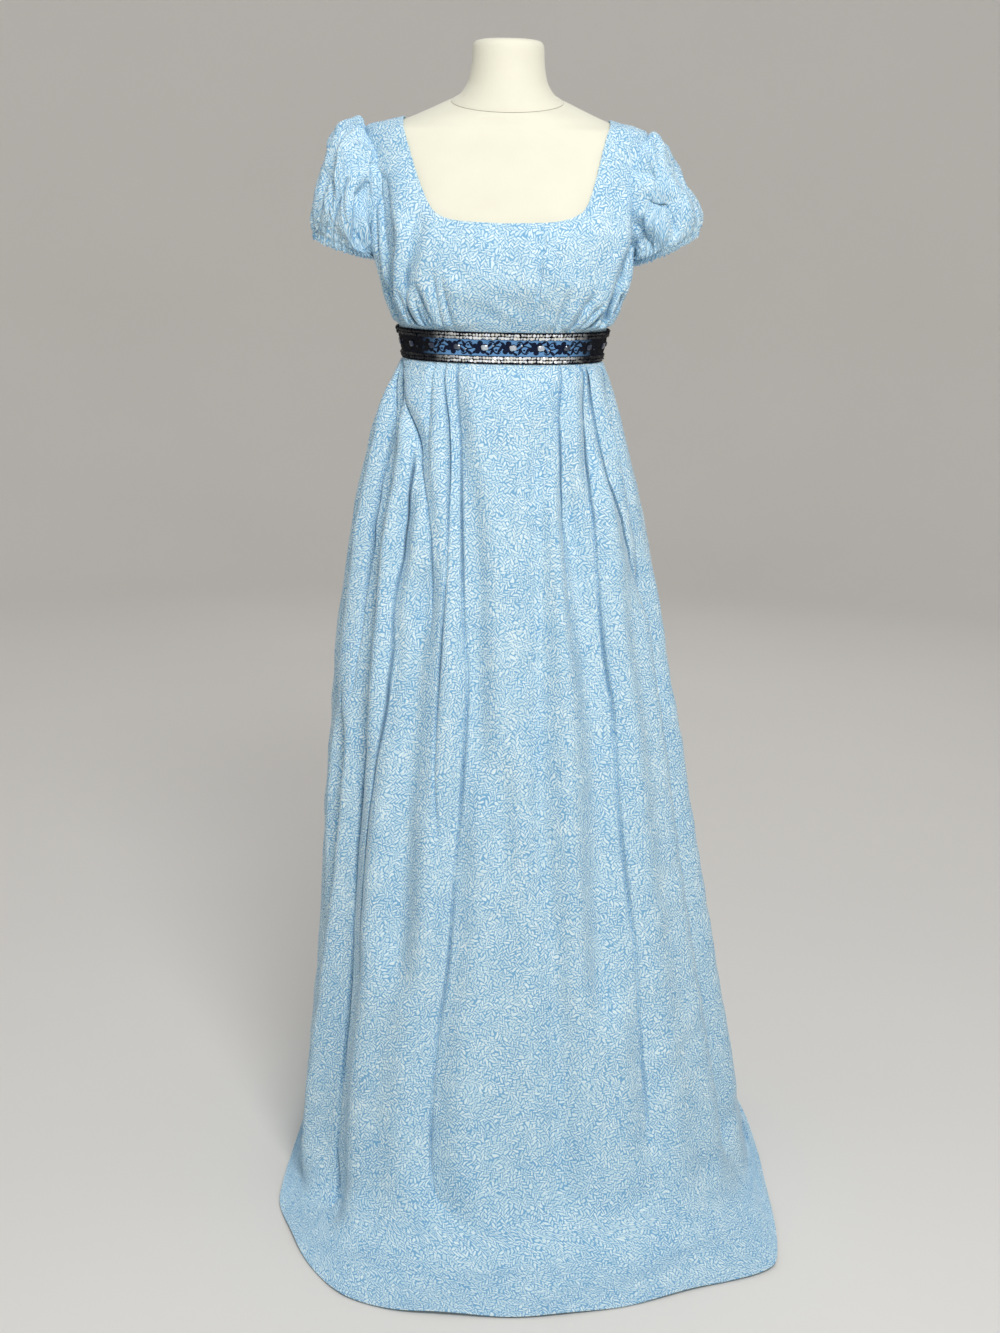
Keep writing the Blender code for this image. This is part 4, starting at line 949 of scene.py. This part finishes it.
def makeBodice():
    fine = np.linspace(gown["waistSeam"], bodice["top"], 500)
    probe = np.linspace(-2.0, 2.0, 33)
    rings = np.array([bodyOffset(z, probe, gown["ease"]) for z in fine])
    walked = np.concatenate([[0.0], np.cumsum(np.linalg.norm(np.diff(rings, axis=0), axis=2).max(axis=1))])
    heights = np.interp(np.linspace(walked[-1], 0.0, int(walked[-1] / bodice["row"])), walked, fine)
    front = np.linspace(-1.0, 1.0, 2001)
    dense = 1 + sum((bodice["closer"] - 1) * np.exp(-((front - middle) / half) ** 6)
                    for middle, half in bodice["gathered"])
    walked = np.concatenate([[0.0], np.cumsum(dense[1:])])
    front = np.interp(np.linspace(0.0, walked[-1], bodice["frontColumns"] + 1), walked, front)
    behind = np.linspace(1.0, 2.0, bodice["backColumns"] + 1)
    quarters = np.concatenate([-behind[::-1], front[1:-1], behind])
    base = np.array([bodyOffset(z, quarters, gown["ease"]) for z in heights])
    lengths = rowLengths(base)
    normals = gridNormals(base)
    tracks = [trackAt(fold, heights) for fold in bodice["folds"]]
    inward, sideways = foldsOf(bodice["folds"], tracks, base, heights, quarters, wraps=True, fade=0.022, facing=turnAway)
    stand = np.zeros(base.shape[:2])
    for level, quarter, up, across, height in bodice["fullness"]:
        stand += height * np.exp(-((heights - level) / up)[:, None] ** 2 - ((quarters - quarter) / across) ** 2)
    waves = 1 + ripples(lengths, heights[:, None], bodice["looseSize"], 31)
    stand += bodice["loose"] * waves * smoothStep(1.19, 1.22, heights)[:, None]
    free = smoothStep(gown["bandTop"] + 0.001, gown["bandTop"] + 0.012, heights)[:, None]
    outward = np.maximum(stand * 1.3 - inward, -bodice["deepest"]) * free
    made = displaced(base, normals, -outward, sideways * free)
    made[:, -1] = made[:, 0]

    ahead, rear = necklineOutlines()
    pieces = {}
    edge = bodice["backColumns"]
    for name, start, end, neckline in (("bodice_front", edge, edge + bodice["frontColumns"], ahead),
                                       ("bodice_back_left", edge + bodice["frontColumns"], len(quarters) - 1, rear),
                                       ("bodice_back_right", 0, edge, rear)):
        panel = made[:, start:end + 1]
        middle = int(np.abs(quarters[start:end + 1] - (quarters[start] + quarters[end]) / 2).argmin())
        piece = gridPiece(name + "_cloth", panel, coneUv(panel, middle), printedCotton)
        cutAway(piece, lambda spots: outlineLevel(spots[:, [0, 2]], neckline))
        cutAway(piece, armholeLevel)
        giveWall(piece, gown["cottonThickness"])
        claim(piece, "printed_cotton", name)
        pieces[name] = piece
    return pieces


bodicePieces = makeBodice()
print("bodice made")

# sleeves
sleeves = {
    "columns": 300, "row": 0.0027,
    "headGather": 0.0034, "headWidth": 0.0028, "headLength": (0.010, 0.030),
    "hemGather": (0.0036, 0.0056), "hemWidth": 0.0021, "hemLength": (0.016, 0.034),
    "gatherSpacing": (0.014, 0.022),                       # share of the way round
    "casing": 0.011, "casingDip": 0.0016, "casingReach": 0.0016,
    "puff": 0.0030, "crumple": 0.0010,                     # depth of the broad waves and of the small ones
    "seamRoom": 0.0003, "roomGrowth": 0.34,                # how far a fold may go in by the armhole, and per metre from it
    # x and z of the outer edge, x and z of the underarm edge, half depth
    "toPlusX": [(0.1940, 1.4420, 0.1735, 1.2845, 0.064), (0.2090, 1.4240, 0.1730, 1.2815, 0.074),
                (0.2340, 1.3910, 0.1725, 1.2795, 0.080), (0.2510, 1.3610, 0.1715, 1.2775, 0.080),
                (0.2590, 1.3380, 0.1705, 1.2750, 0.074), (0.2520, 1.3120, 0.1690, 1.2700, 0.058)],
    "toMinusX": [(0.1960, 1.4550, 0.1735, 1.2845, 0.064), (0.2190, 1.4450, 0.1730, 1.2815, 0.074),
                 (0.2360, 1.4020, 0.1725, 1.2795, 0.080), (0.2500, 1.3580, 0.1715, 1.2775, 0.080),
                 (0.2535, 1.3240, 0.1705, 1.2755, 0.072), (0.2500, 1.2980, 0.1690, 1.2730, 0.058)],
    # track of (share from the head to the hem, share of the way round from the back over the top) and the fold's sizes
    "foldsPlus": [
        ([(0.02, 0.345), (0.133, 0.362), (0.30, 0.42)], 0.0018, 0.0027, 0.0102, 0.0073, 0.0145, 0.0065, 0.4, 0, 0.36),
        ([(0.25, 0.515), (0.383, 0.492), (0.517, 0.458), (0.683, 0.463), (0.80, 0.47)],
         0.0020, 0.0032, 0.0117, 0.0097, 0.0169, 0.0074, -0.6, 0.16, 0.9),
        ([(0.02, 0.575), (0.30, 0.60), (0.767, 0.583)], 0.0018, 0.0027, 0.0092, 0.0073, 0.0145, 0.0058, 0.5, 0, 0.86),
        ([(0.02, 0.43), (0.25, 0.45)], 0.0018, 0.0027, 0.0077, 0.0073, 0.0145, 0.0049, 0.3, 0, 0.34),
        ([(0.30, 0.30), (0.80, 0.33)], 0.0030, 0.0045, 0.0087, 0.0145, 0.0242, 0.0054, 0.2, 0.3, 0.96),
        ([(0.02, 0.18), (0.40, 0.14)], 0.0018, 0.0036, 0.0102, 0.0073, 0.0194, 0.0065, -0.4, 0, 0.55),
        ([(0.30, 0.04), (0.90, 0.07)], 0.0025, 0.0045, 0.0102, 0.0121, 0.0242, 0.0065, 0.5, 0.25, 0.98),
        ([(0.40, 0.20), (0.95, 0.22)], 0.0030, 0.0040, 0.0081, 0.0145, 0.0218, 0.0052, -0.4, 0.4, 1),
    ],
    "foldsMinus": [
        ([(0.20, 0.325), (0.417, 0.342), (0.50, 0.38)], 0.0020, 0.0027, 0.0128, 0.0097, 0.0145, 0.0081, 0.5, 0.14, 0.6),
        ([(0.02, 0.43), (0.083, 0.442), (0.117, 0.508), (0.30, 0.55), (0.433, 0.583), (0.80, 0.60)],
         0.0020, 0.0036, 0.0179, 0.0097, 0.0194, 0.0116, -0.7, 0, 0.86),
        ([(0.45, 0.345), (0.567, 0.35), (0.733, 0.367), (1.0, 0.327)],
         0.0018, 0.0023, 0.0102, 0.0073, 0.0121, 0.0065, 0.5, 0.4, 1.04),
        ([(0.50, 0.40), (0.75, 0.41), (1.0, 0.37)], 0.0018, 0.0023, 0.0087, 0.0073, 0.0121, 0.0054, 0.5, 0.44, 1.04),
        ([(0.35, 0.47), (0.70, 0.46), (0.95, 0.45)], 0.0020, 0.0032, 0.0102, 0.0097, 0.0169, 0.0065, -0.5, 0.3, 1),
        ([(0.02, 0.29), (0.18, 0.28)], 0.0018, 0.0023, 0.0092, 0.0073, 0.0121, 0.0058, 0, 0, 0.26),
        ([(0.02, 0.36), (0.20, 0.37)], 0.0018, 0.0023, 0.0092, 0.0073, 0.0121, 0.0058, 0.3, 0, 0.28),
        ([(0.02, 0.16), (0.45, 0.12)], 0.0018, 0.0036, 0.0112, 0.0073, 0.0194, 0.0071, 0.4, 0, 0.6),
        ([(0.35, 0.05), (0.92, 0.08)], 0.0025, 0.0045, 0.0102, 0.0121, 0.0242, 0.0065, -0.5, 0.3, 0.98),
        ([(0.45, 0.20), (0.95, 0.23)], 0.0030, 0.0040, 0.0092, 0.0145, 0.0218, 0.0058, 0.4, 0.42, 1),
    ],
}


def bodySide(y, z):
    half, front, back, squareness, rise = smoothAt(bodyRings[:, 0], bodyRings[:, 1:], z)[0]
    depth = front if y < 0 else back
    return half * (1 - abs(y / depth) ** squareness) ** (1 / squareness)


def makeSleeve(name, side, rows, folds, seed):
    share = np.linspace(0.0, 1.0, sleeves["columns"] + 1)
    across, up = np.cos(2 * math.pi * share), np.sin(2 * math.pi * share)
    ys = gown["armholeY"] + gown["armholeHalfDepth"] * across
    zs = gown["armholeZ"] + gown["armholeHalfHeight"] * up
    seam = np.array([bodySide(y, z) + gown["ease"] for y, z in zip(ys, zs)])
    rings = [np.column_stack([seam - 0.0006, ys, zs]),
             np.column_stack([seam + 0.0035, ys + 0.0015 * across, zs + 0.0015 * up])]
    for topX, topZ, underX, underZ, halfDepth in rows:
        rings.append(np.column_stack([(topX + underX) / 2 + (topX - underX) / 2 * up,
                                      gown["armholeY"] + halfDepth * across,
                                      (topZ + underZ) / 2 + (topZ - underZ) / 2 * up]))
    rings = np.array(rings)
    rings[:, :, 0] *= side
    down = columnLengths(rings).mean(axis=1)
    count = int(columnLengths(rings)[-1].max() / sleeves["row"])
    walked = np.linspace(0.0, down[-1], count)
    base = smoothAt(down, rings.reshape(len(rings), -1), walked).reshape(count, len(share), 3)
    level = walked / down[-1]
    lengths, columns = rowLengths(base), columnLengths(base)
    toHem = columns[-1] - columns
    normals = gridNormals(base) * -side
    tracks = [trackAt(fold, level) for fold in folds]
    inward, sideways = foldsOf(folds, tracks, base, level, share, wraps=True, fade=0.16)
    draw = random.Random(seed)
    place = draw.uniform(0.0, 0.02)
    while place < 1.0:
        middle = np.array([np.interp(place, share, row) for row in lengths])
        away = lengths - middle[:, None]
        away = (away + lengths[:, -1:] / 2) % lengths[:, -1:] - lengths[:, -1:] / 2
        headward = max(0.0, math.sin(2 * math.pi * place) + 0.35) / 1.35
        reach = draw.uniform(*sleeves["headLength"])
        ridge = np.exp(-(away / sleeves["headWidth"]) ** 2 - (columns / reach) ** 2) * smoothStep(0.0, 0.004, columns)
        inward -= sleeves["headGather"] * headward * ridge
        reach = draw.uniform(*sleeves["hemLength"])
        inward -= draw.uniform(*sleeves["hemGather"]) * np.exp(-(away / sleeves["hemWidth"]) ** 2 - (toHem / reach) ** 2)
        place += draw.uniform(*sleeves["gatherSpacing"])
    inward += sleeves["casingDip"] * np.exp(-((toHem - sleeves["casing"]) / sleeves["casingReach"]) ** 2)
    inward += sleeves["puff"] * ripples(lengths, columns, 0.075, seed + 3) * np.sin(math.pi * level)[:, None]
    inward += sleeves["crumple"] * ripples(lengths, columns, 0.018, seed + 4) * np.sin(math.pi * level)[:, None]
    room = sleeves["seamRoom"] + sleeves["roomGrowth"] * columns
    inward = np.where(inward > 0, room * np.tanh(inward / room), inward)
    attached = smoothStep(0.0, 0.006, columns)
    made = displaced(base, normals, inward * attached, sideways * attached * 0.8)
    made[:, -1] = made[:, 0]
    around = rowLengths(made)
    flat = np.stack([around - around[:, sleeves["columns"] // 2][:, None], columnLengths(made)], axis=2)
    piece = gridPiece(name + "_cloth", made, flat, printedCotton, closed=True, turned=side > 0)
    giveWall(piece, gown["cottonThickness"])
    claim(piece, "printed_cotton", name)
    return piece


sleeveLeft = makeSleeve("sleeve_left", 1, sleeves["toPlusX"], sleeves["foldsPlus"], 41)
sleeveRight = makeSleeve("sleeve_right", -1, sleeves["toMinusX"], sleeves["foldsMinus"], 47)
print("sleeves made")

# band
band = {
    "columns": 336, "rows": 40, "stand": 0.0050, "thickness": 0.0012,
    "flare": 0.0022, "ridge": 0.00025, "ridgePitch": 0.0017, "edge": 0.0085,
    "repeat": 0.0362, "phase": 0.008,            # the flowers, and where one stands by the centre front
    # the motif in millimetres from the middle of its flower
    "petals": (90, 162, 234, 306, 18),           # where each points, in degrees
    "petalPlace": (5.3, 4.9), "petalSize": (5.0, 4.8, 1.1),
    # points, width, height and steps of each stem
    "stems": (([(6, -1), (11, -3.5), (16, -0.5), (20, 2.5), (25, 1.5), (31, -1)], 2.2, 0.8, 22),
              ([(16, -0.5), (18.5, -6.5), (23, -8.2), (26.5, -6.0)], 1.9, 0.7, 12),
              ([(20, 2.5), (17.5, 7.6), (13.5, 9.0), (10.5, 7.0)], 1.9, 0.7, 12)),
    # place, half length, half width and turn of each leaf
    "leaves": ((11.8, 3.4, 5.1, 2.6, 52), (14.8, -5.8, 4.6, 2.5, 62), (21.6, 7.0, 4.8, 2.6, 38),
               (25.0, -3.4, 5.0, 2.6, 55), (28.2, 6.6, 3.4, 2.2, -35), (8.8, -8.2, 3.6, 2.2, -30),
               (17.8, 4.4, 1.8, 1.6, 0), (20.2, -3.2, 1.8, 1.6, 0)),
    "leafHeight": 0.75,
    "sequin": 0.0026, "sequinPitch": 0.0040,
    "sequinRows": ((0.0393, 0.85), (0.0352, 1.0), (0.0076, 1.0), (0.0033, 0.9)),    # height on the band, share of the size
    "crystal": 0.0052,
}


def bandGrid():
    quarters = np.linspace(-2.0, 2.0, band["columns"] + 1)
    heights = np.linspace(gown["bandTop"], gown["bandBottom"], band["rows"] + 1)
    points = np.array([bodyOffset(z, quarters, band["stand"]) for z in heights])
    normals = gridNormals(points)
    up = (heights - gown["bandBottom"]) / (gown["bandTop"] - gown["bandBottom"])
    fromEdge = np.minimum(heights - gown["bandBottom"], gown["bandTop"] - heights)
    ridges = band["ridge"] * np.cos(2 * math.pi * fromEdge / band["ridgePitch"]) * (fromEdge < band["edge"])
    flare = band["flare"] * (up ** 3)[:, None] * np.exp(-((np.abs(quarters) - 0.92) / 0.22) ** 2)
    made = points + normals * (ridges[:, None] + flare)[:, :, None]
    made[:, -1] = made[:, 0]
    lengths = rowLengths(made)
    across = lengths - lengths[:, band["columns"] // 2][:, None]
    uv = np.stack([across, np.broadcast_to((heights - gown["bandBottom"])[:, None], across.shape)], axis=2)
    return made, normals, uv


bandPoints, bandNormals, bandUv = bandGrid()
bandMiddle = bandUv[band["rows"] // 2, :, 0]
bandGirth = bandMiddle[-1] - bandMiddle[0]


def onBand(spots):
    # along the band from the centre front, up from its lower edge, and out from its face, all in metres
    spots = np.asarray(spots, float)
    along = (spots[:, 0] - bandMiddle[0]) % bandGirth + bandMiddle[0]
    column = np.clip(np.interp(along, bandMiddle, np.arange(len(bandMiddle))), 0, len(bandMiddle) - 1.001)
    row = np.clip((1 - spots[:, 1] / (gown["bandTop"] - gown["bandBottom"])) * band["rows"], 0, band["rows"] - 0.001)
    c, r = column.astype(int), row.astype(int)
    u, v = (column - c)[:, None], (row - r)[:, None]
    face, out = [(grid[r, c] * (1 - u) + grid[r, c + 1] * u) * (1 - v)
                 + (grid[r + 1, c] * (1 - u) + grid[r + 1, c + 1] * u) * v for grid in (bandPoints, bandNormals)]
    return face + out * spots[:, 2:3]


def petal(x, y, halfLength, halfWidth, turn, height, sides=12):
    # a raised lens that closes under the face of the band, in millimetres
    angle = np.linspace(0, 2 * math.pi, sides, endpoint=False)
    along, across = halfLength * np.cos(angle), halfWidth * np.sin(angle) * (0.75 + 0.25 * np.cos(angle))
    turn = math.radians(turn)
    rim = np.column_stack([x + along * math.cos(turn) - across * math.sin(turn),
                           y + along * math.sin(turn) + across * math.cos(turn), np.full(sides, 0.12)])
    verts = np.concatenate([rim, [(x, y, height), (x, y, -0.3)]])
    faces = []
    for place in range(sides):
        beside = (place + 1) % sides
        faces += [(place, beside, sides), (beside, place, sides + 1)]
    return verts, faces


def vine(path, width, height, steps):
    # a flat raised stem that tapers at both ends, in millimetres
    path = np.asarray(path, float)
    at = np.linspace(0, len(path) - 1, steps)
    line = smoothAt(np.arange(len(path)), path, at)
    ahead = np.gradient(line, axis=0)
    ahead /= np.linalg.norm(ahead, axis=1)[:, None]
    side = np.column_stack([-ahead[:, 1], ahead[:, 0]])
    half = width / 2 * (0.25 + 0.75 * np.sin(math.pi * np.linspace(0.04, 0.96, steps)))[:, None]
    verts = np.concatenate([np.column_stack([spots, np.full(steps, out)]) for spots, out in
                            ((line + side * half, 0.1), (line, height), (line - side * half, 0.1), (line, -0.3))])
    faces = []
    for part in range(4):
        start, beside = part * steps, (part + 1) % 4 * steps
        for step in range(steps - 1):
            faces.append((start + step, start + step + 1, beside + step + 1, beside + step))
    faces += [(0, steps, 2 * steps, 3 * steps), (4 * steps - 1, 3 * steps - 1, 2 * steps - 1, steps - 1)]
    return verts, faces


def joined(name, parts, look):
    verts, faces, start = [], [], 0
    for points, sides in parts:
        verts.append(points)
        faces += [tuple(start + corner for corner in side) for side in sides]
        start += len(points)
    flat = np.concatenate(verts)
    mesh = bpy.data.meshes.new(name)
    mesh.from_pydata(onBand(flat).tolist(), [], faces)
    layer = mesh.uv_layers.new(name="cloth")
    index = np.empty(len(mesh.loops), np.int32)
    mesh.loops.foreach_get("vertex_index", index)
    wrapped = np.column_stack([(flat[:, 0] - bandMiddle[0]) % bandGirth + bandMiddle[0], flat[:, 1]])
    layer.uv.foreach_set("vector", wrapped[index].ravel().astype(np.float32))
    shape = bmesh.new()
    shape.from_mesh(mesh)
    bmesh.ops.recalc_face_normals(shape, faces=shape.faces)
    shape.to_mesh(mesh)
    shape.free()
    mesh.materials.append(look)
    mesh.shade_smooth()
    mesh.set_sharp_from_angle(angle=math.radians(35))
    piece = bpy.data.objects.new(name, mesh)
    bpy.context.scene.collection.objects.link(piece)
    claim(piece, "band_trim")
    return piece


def makeBand():
    ribbonPiece = gridPiece("band_ribbon", bandPoints, bandUv, ribbon, closed=True)
    giveWall(ribbonPiece, band["thickness"])
    claim(ribbonPiece, "band_trim", "band")

    middle = (gown["bandTop"] - gown["bandBottom"]) / 2 + 0.0005
    repeats = round(bandGirth / band["repeat"])
    pitch = bandGirth / repeats
    motif = []
    outX, outY = band["petalPlace"]
    length, width, height = band["petalSize"]
    for turn in band["petals"]:
        motif.append(petal(outX * math.cos(math.radians(turn)), outY * math.sin(math.radians(turn)),
                           length, width, turn, height))
    motif += [vine(*stem) for stem in band["stems"]]
    motif += [petal(*leaf, band["leafHeight"]) for leaf in band["leaves"]]
    flowers = []
    for number in range(repeats):
        flip = -1 if number % 2 else 1
        for points, sides in motif:
            moved = points / 1000
            moved = np.column_stack([band["phase"] + number * pitch + moved[:, 0] * pitch / band["repeat"],
                                     middle + flip * moved[:, 1], moved[:, 2]])
            flowers.append((moved, sides))
    flowerPiece = joined("band_flowers", flowers, embroidery)

    draw = random.Random(5)
    spangles = []
    angle = np.linspace(0, 2 * math.pi, 8, endpoint=False)
    for height, squash in band["sequinRows"]:
        count = round(bandGirth / band["sequinPitch"])
        for number in range(count):
            along = (number + draw.uniform(-0.16, 0.16)) * bandGirth / count
            up = height + draw.uniform(-0.0004, 0.0004)
            radius = band["sequin"] * draw.uniform(0.75, 1.05) * squash
            tip, lean = draw.uniform(-0.7, 0.7), draw.uniform(-0.7, 0.7)
            x, y = radius * np.cos(angle), 0.8 * radius * np.sin(angle)
            outer = np.column_stack([along + x, up + y, 0.0007 + x * tip + y * lean])
            inner = np.column_stack([along + 0.4 * x, up + 0.4 * y, 0.0010 + 0.4 * (x * tip + y * lean)])
            verts = np.concatenate([outer, inner, outer - (0, 0, 0.0008)])
            sides = [tuple(range(8, 16)), tuple(reversed(range(16, 24)))]
            for place in range(8):
                beside = (place + 1) % 8
                sides += [(place, beside, 8 + beside, 8 + place), (16 + place, 16 + beside, beside, place)]
            spangles.append((verts, sides))
    braidPiece = joined("band_sequin_braid", spangles, tinsel)

    stones = []
    for number in range(repeats):
        for dx, dy, radius in ((0.0060, 0.0003, band["crystal"]), (0.0170, 0.0030 * (-1) ** number, 0.0013)):
            along, up = band["phase"] + number * pitch + dx, middle + dy
            turn = math.radians(draw.uniform(-12, 12))
            corner = np.repeat(np.arange(4) * math.pi / 2 + math.pi / 4, 2) + np.tile([-0.22, 0.22], 4) + turn
            levels = ((1.0, 0.0000), (1.0, 0.0009), (0.62, 0.0022))
            verts = [np.column_stack([along + radius * wide * np.cos(corner), up + 0.88 * radius * wide * np.sin(corner),
                                      np.full(8, 0.0009 + rise * radius / band["crystal"])]) for wide, rise in levels]
            sides = [tuple(reversed(range(8))), tuple(range(16, 24))]
            for low in (0, 8):
                for place in range(8):
                    beside = (place + 1) % 8
                    sides.append((low + place, low + beside, low + 8 + beside, low + 8 + place))
            stones.append((np.concatenate(verts), sides))
    stonePiece = joined("band_crystals", stones, crystal)
    return ribbonPiece, [flowerPiece, braidPiece, stonePiece]


bandPiece, bandTrims = makeBand()
print("band made")

# floor, light and camera
studio = {
    "floorRadius": 4.2, "wallHeight": 2.6, "curveSteps": 10, "curveStep": 0.14287,
    "floorColours": ("#E4E1DC", "#E9E6E1"), "worldColour": "#F2F3F5", "world": 0.54,
    # name, place, size and power of each lamp, all turned to the middle of the gown
    "lamps": (("key", (0.50, -2.4, 2.8), 1.1, 62.0), ("fill", (-2.9, -1.7, 1.9), 2.0, 1.0),
              ("rim", (2.9, -0.6, 2.0), 1.8, 1.0), ("back", (0.3, 3.4, 2.6), 2.4, 13.0)),
    "aim": (0, 0, 1.1),
    "cameraPlace": (0.0057, -2.726, 1.366), "cameraDown": 13.4, "cameraRoll": 1.2, "lens": 54.0,
}


def makeStudio():
    bpy.ops.mesh.primitive_circle_add(vertices=128, radius=studio["floorRadius"], fill_type="NGON")
    floor = bpy.context.active_object
    floor.name = "studio_floor"
    bpy.ops.object.mode_set(mode="EDIT")
    bpy.ops.mesh.select_mode(type="EDGE")
    bpy.ops.mesh.select_all(action="SELECT")
    for step in range(studio["curveSteps"]):    # the floor curves up into a round pale wall
        turn = math.pi / 2 * (step + 0.5) / studio["curveSteps"]
        rise, grow = studio["curveStep"] * math.sin(turn), 1 + studio["curveStep"] * math.cos(turn) / studio["floorRadius"]
        bpy.ops.mesh.extrude_edges_move(TRANSFORM_OT_translate={"value": (0, 0, rise)})
        bpy.ops.transform.resize(value=(grow, grow, 1))
    bpy.ops.mesh.extrude_edges_move(TRANSFORM_OT_translate={"value": (0, 0, studio["wallHeight"])})
    bpy.ops.object.mode_set(mode="OBJECT")
    floor.data.shade_smooth()
    look, tree, shader = newMaterial("matt_painted_studio_floor", Roughness=0.9)
    place = addNode(tree, "ShaderNodeTexCoord")
    cloud = addNode(tree, "ShaderNodeTexNoise", {"Vector": place.outputs["Object"], "Scale": 1.5, "Detail": 2.0})
    dark, pale = studio["floorColours"]
    tone = addNode(tree, "ShaderNodeMix", {0: cloud, 6: hexColour(dark), 7: hexColour(pale)}, data_type="RGBA")
    tree.links.new(tone.outputs[2], shader.inputs["Base Color"])
    floor.data.materials.append(look)

    world = bpy.data.worlds.new("studio")
    world.use_nodes = True
    back = world.node_tree.nodes["Background"]
    back.inputs["Color"].default_value = hexColour(studio["worldColour"])
    back.inputs["Strength"].default_value = studio["world"]
    bpy.context.scene.world = world
    for name, place, size, power in studio["lamps"]:
        light = bpy.data.lights.new(name, "AREA")
        light.shape, light.size, light.energy = "DISK", size, power
        lamp = bpy.data.objects.new(name, light)
        lamp.location, lamp.visible_camera = place, False
        lamp.rotation_euler = (Vector(studio["aim"]) - Vector(place)).to_track_quat("-Z", "Y").to_euler()
        bpy.context.scene.collection.objects.link(lamp)

    camera = bpy.data.objects.new("camera", bpy.data.cameras.new("camera"))
    camera.data.lens, camera.data.sensor_width, camera.data.sensor_fit = studio["lens"], 36.0, "AUTO"
    camera.matrix_world = (Matrix.Translation(studio["cameraPlace"])
                           @ Matrix.Rotation(math.radians(90 - studio["cameraDown"]), 4, "X")
                           @ Matrix.Rotation(math.radians(studio["cameraRoll"]), 4, "Z"))
    bpy.context.scene.collection.objects.link(camera)
    bpy.context.scene.camera = camera
    bpy.context.scene.view_settings.view_transform = "Standard"


makeStudio()
print("studio made")
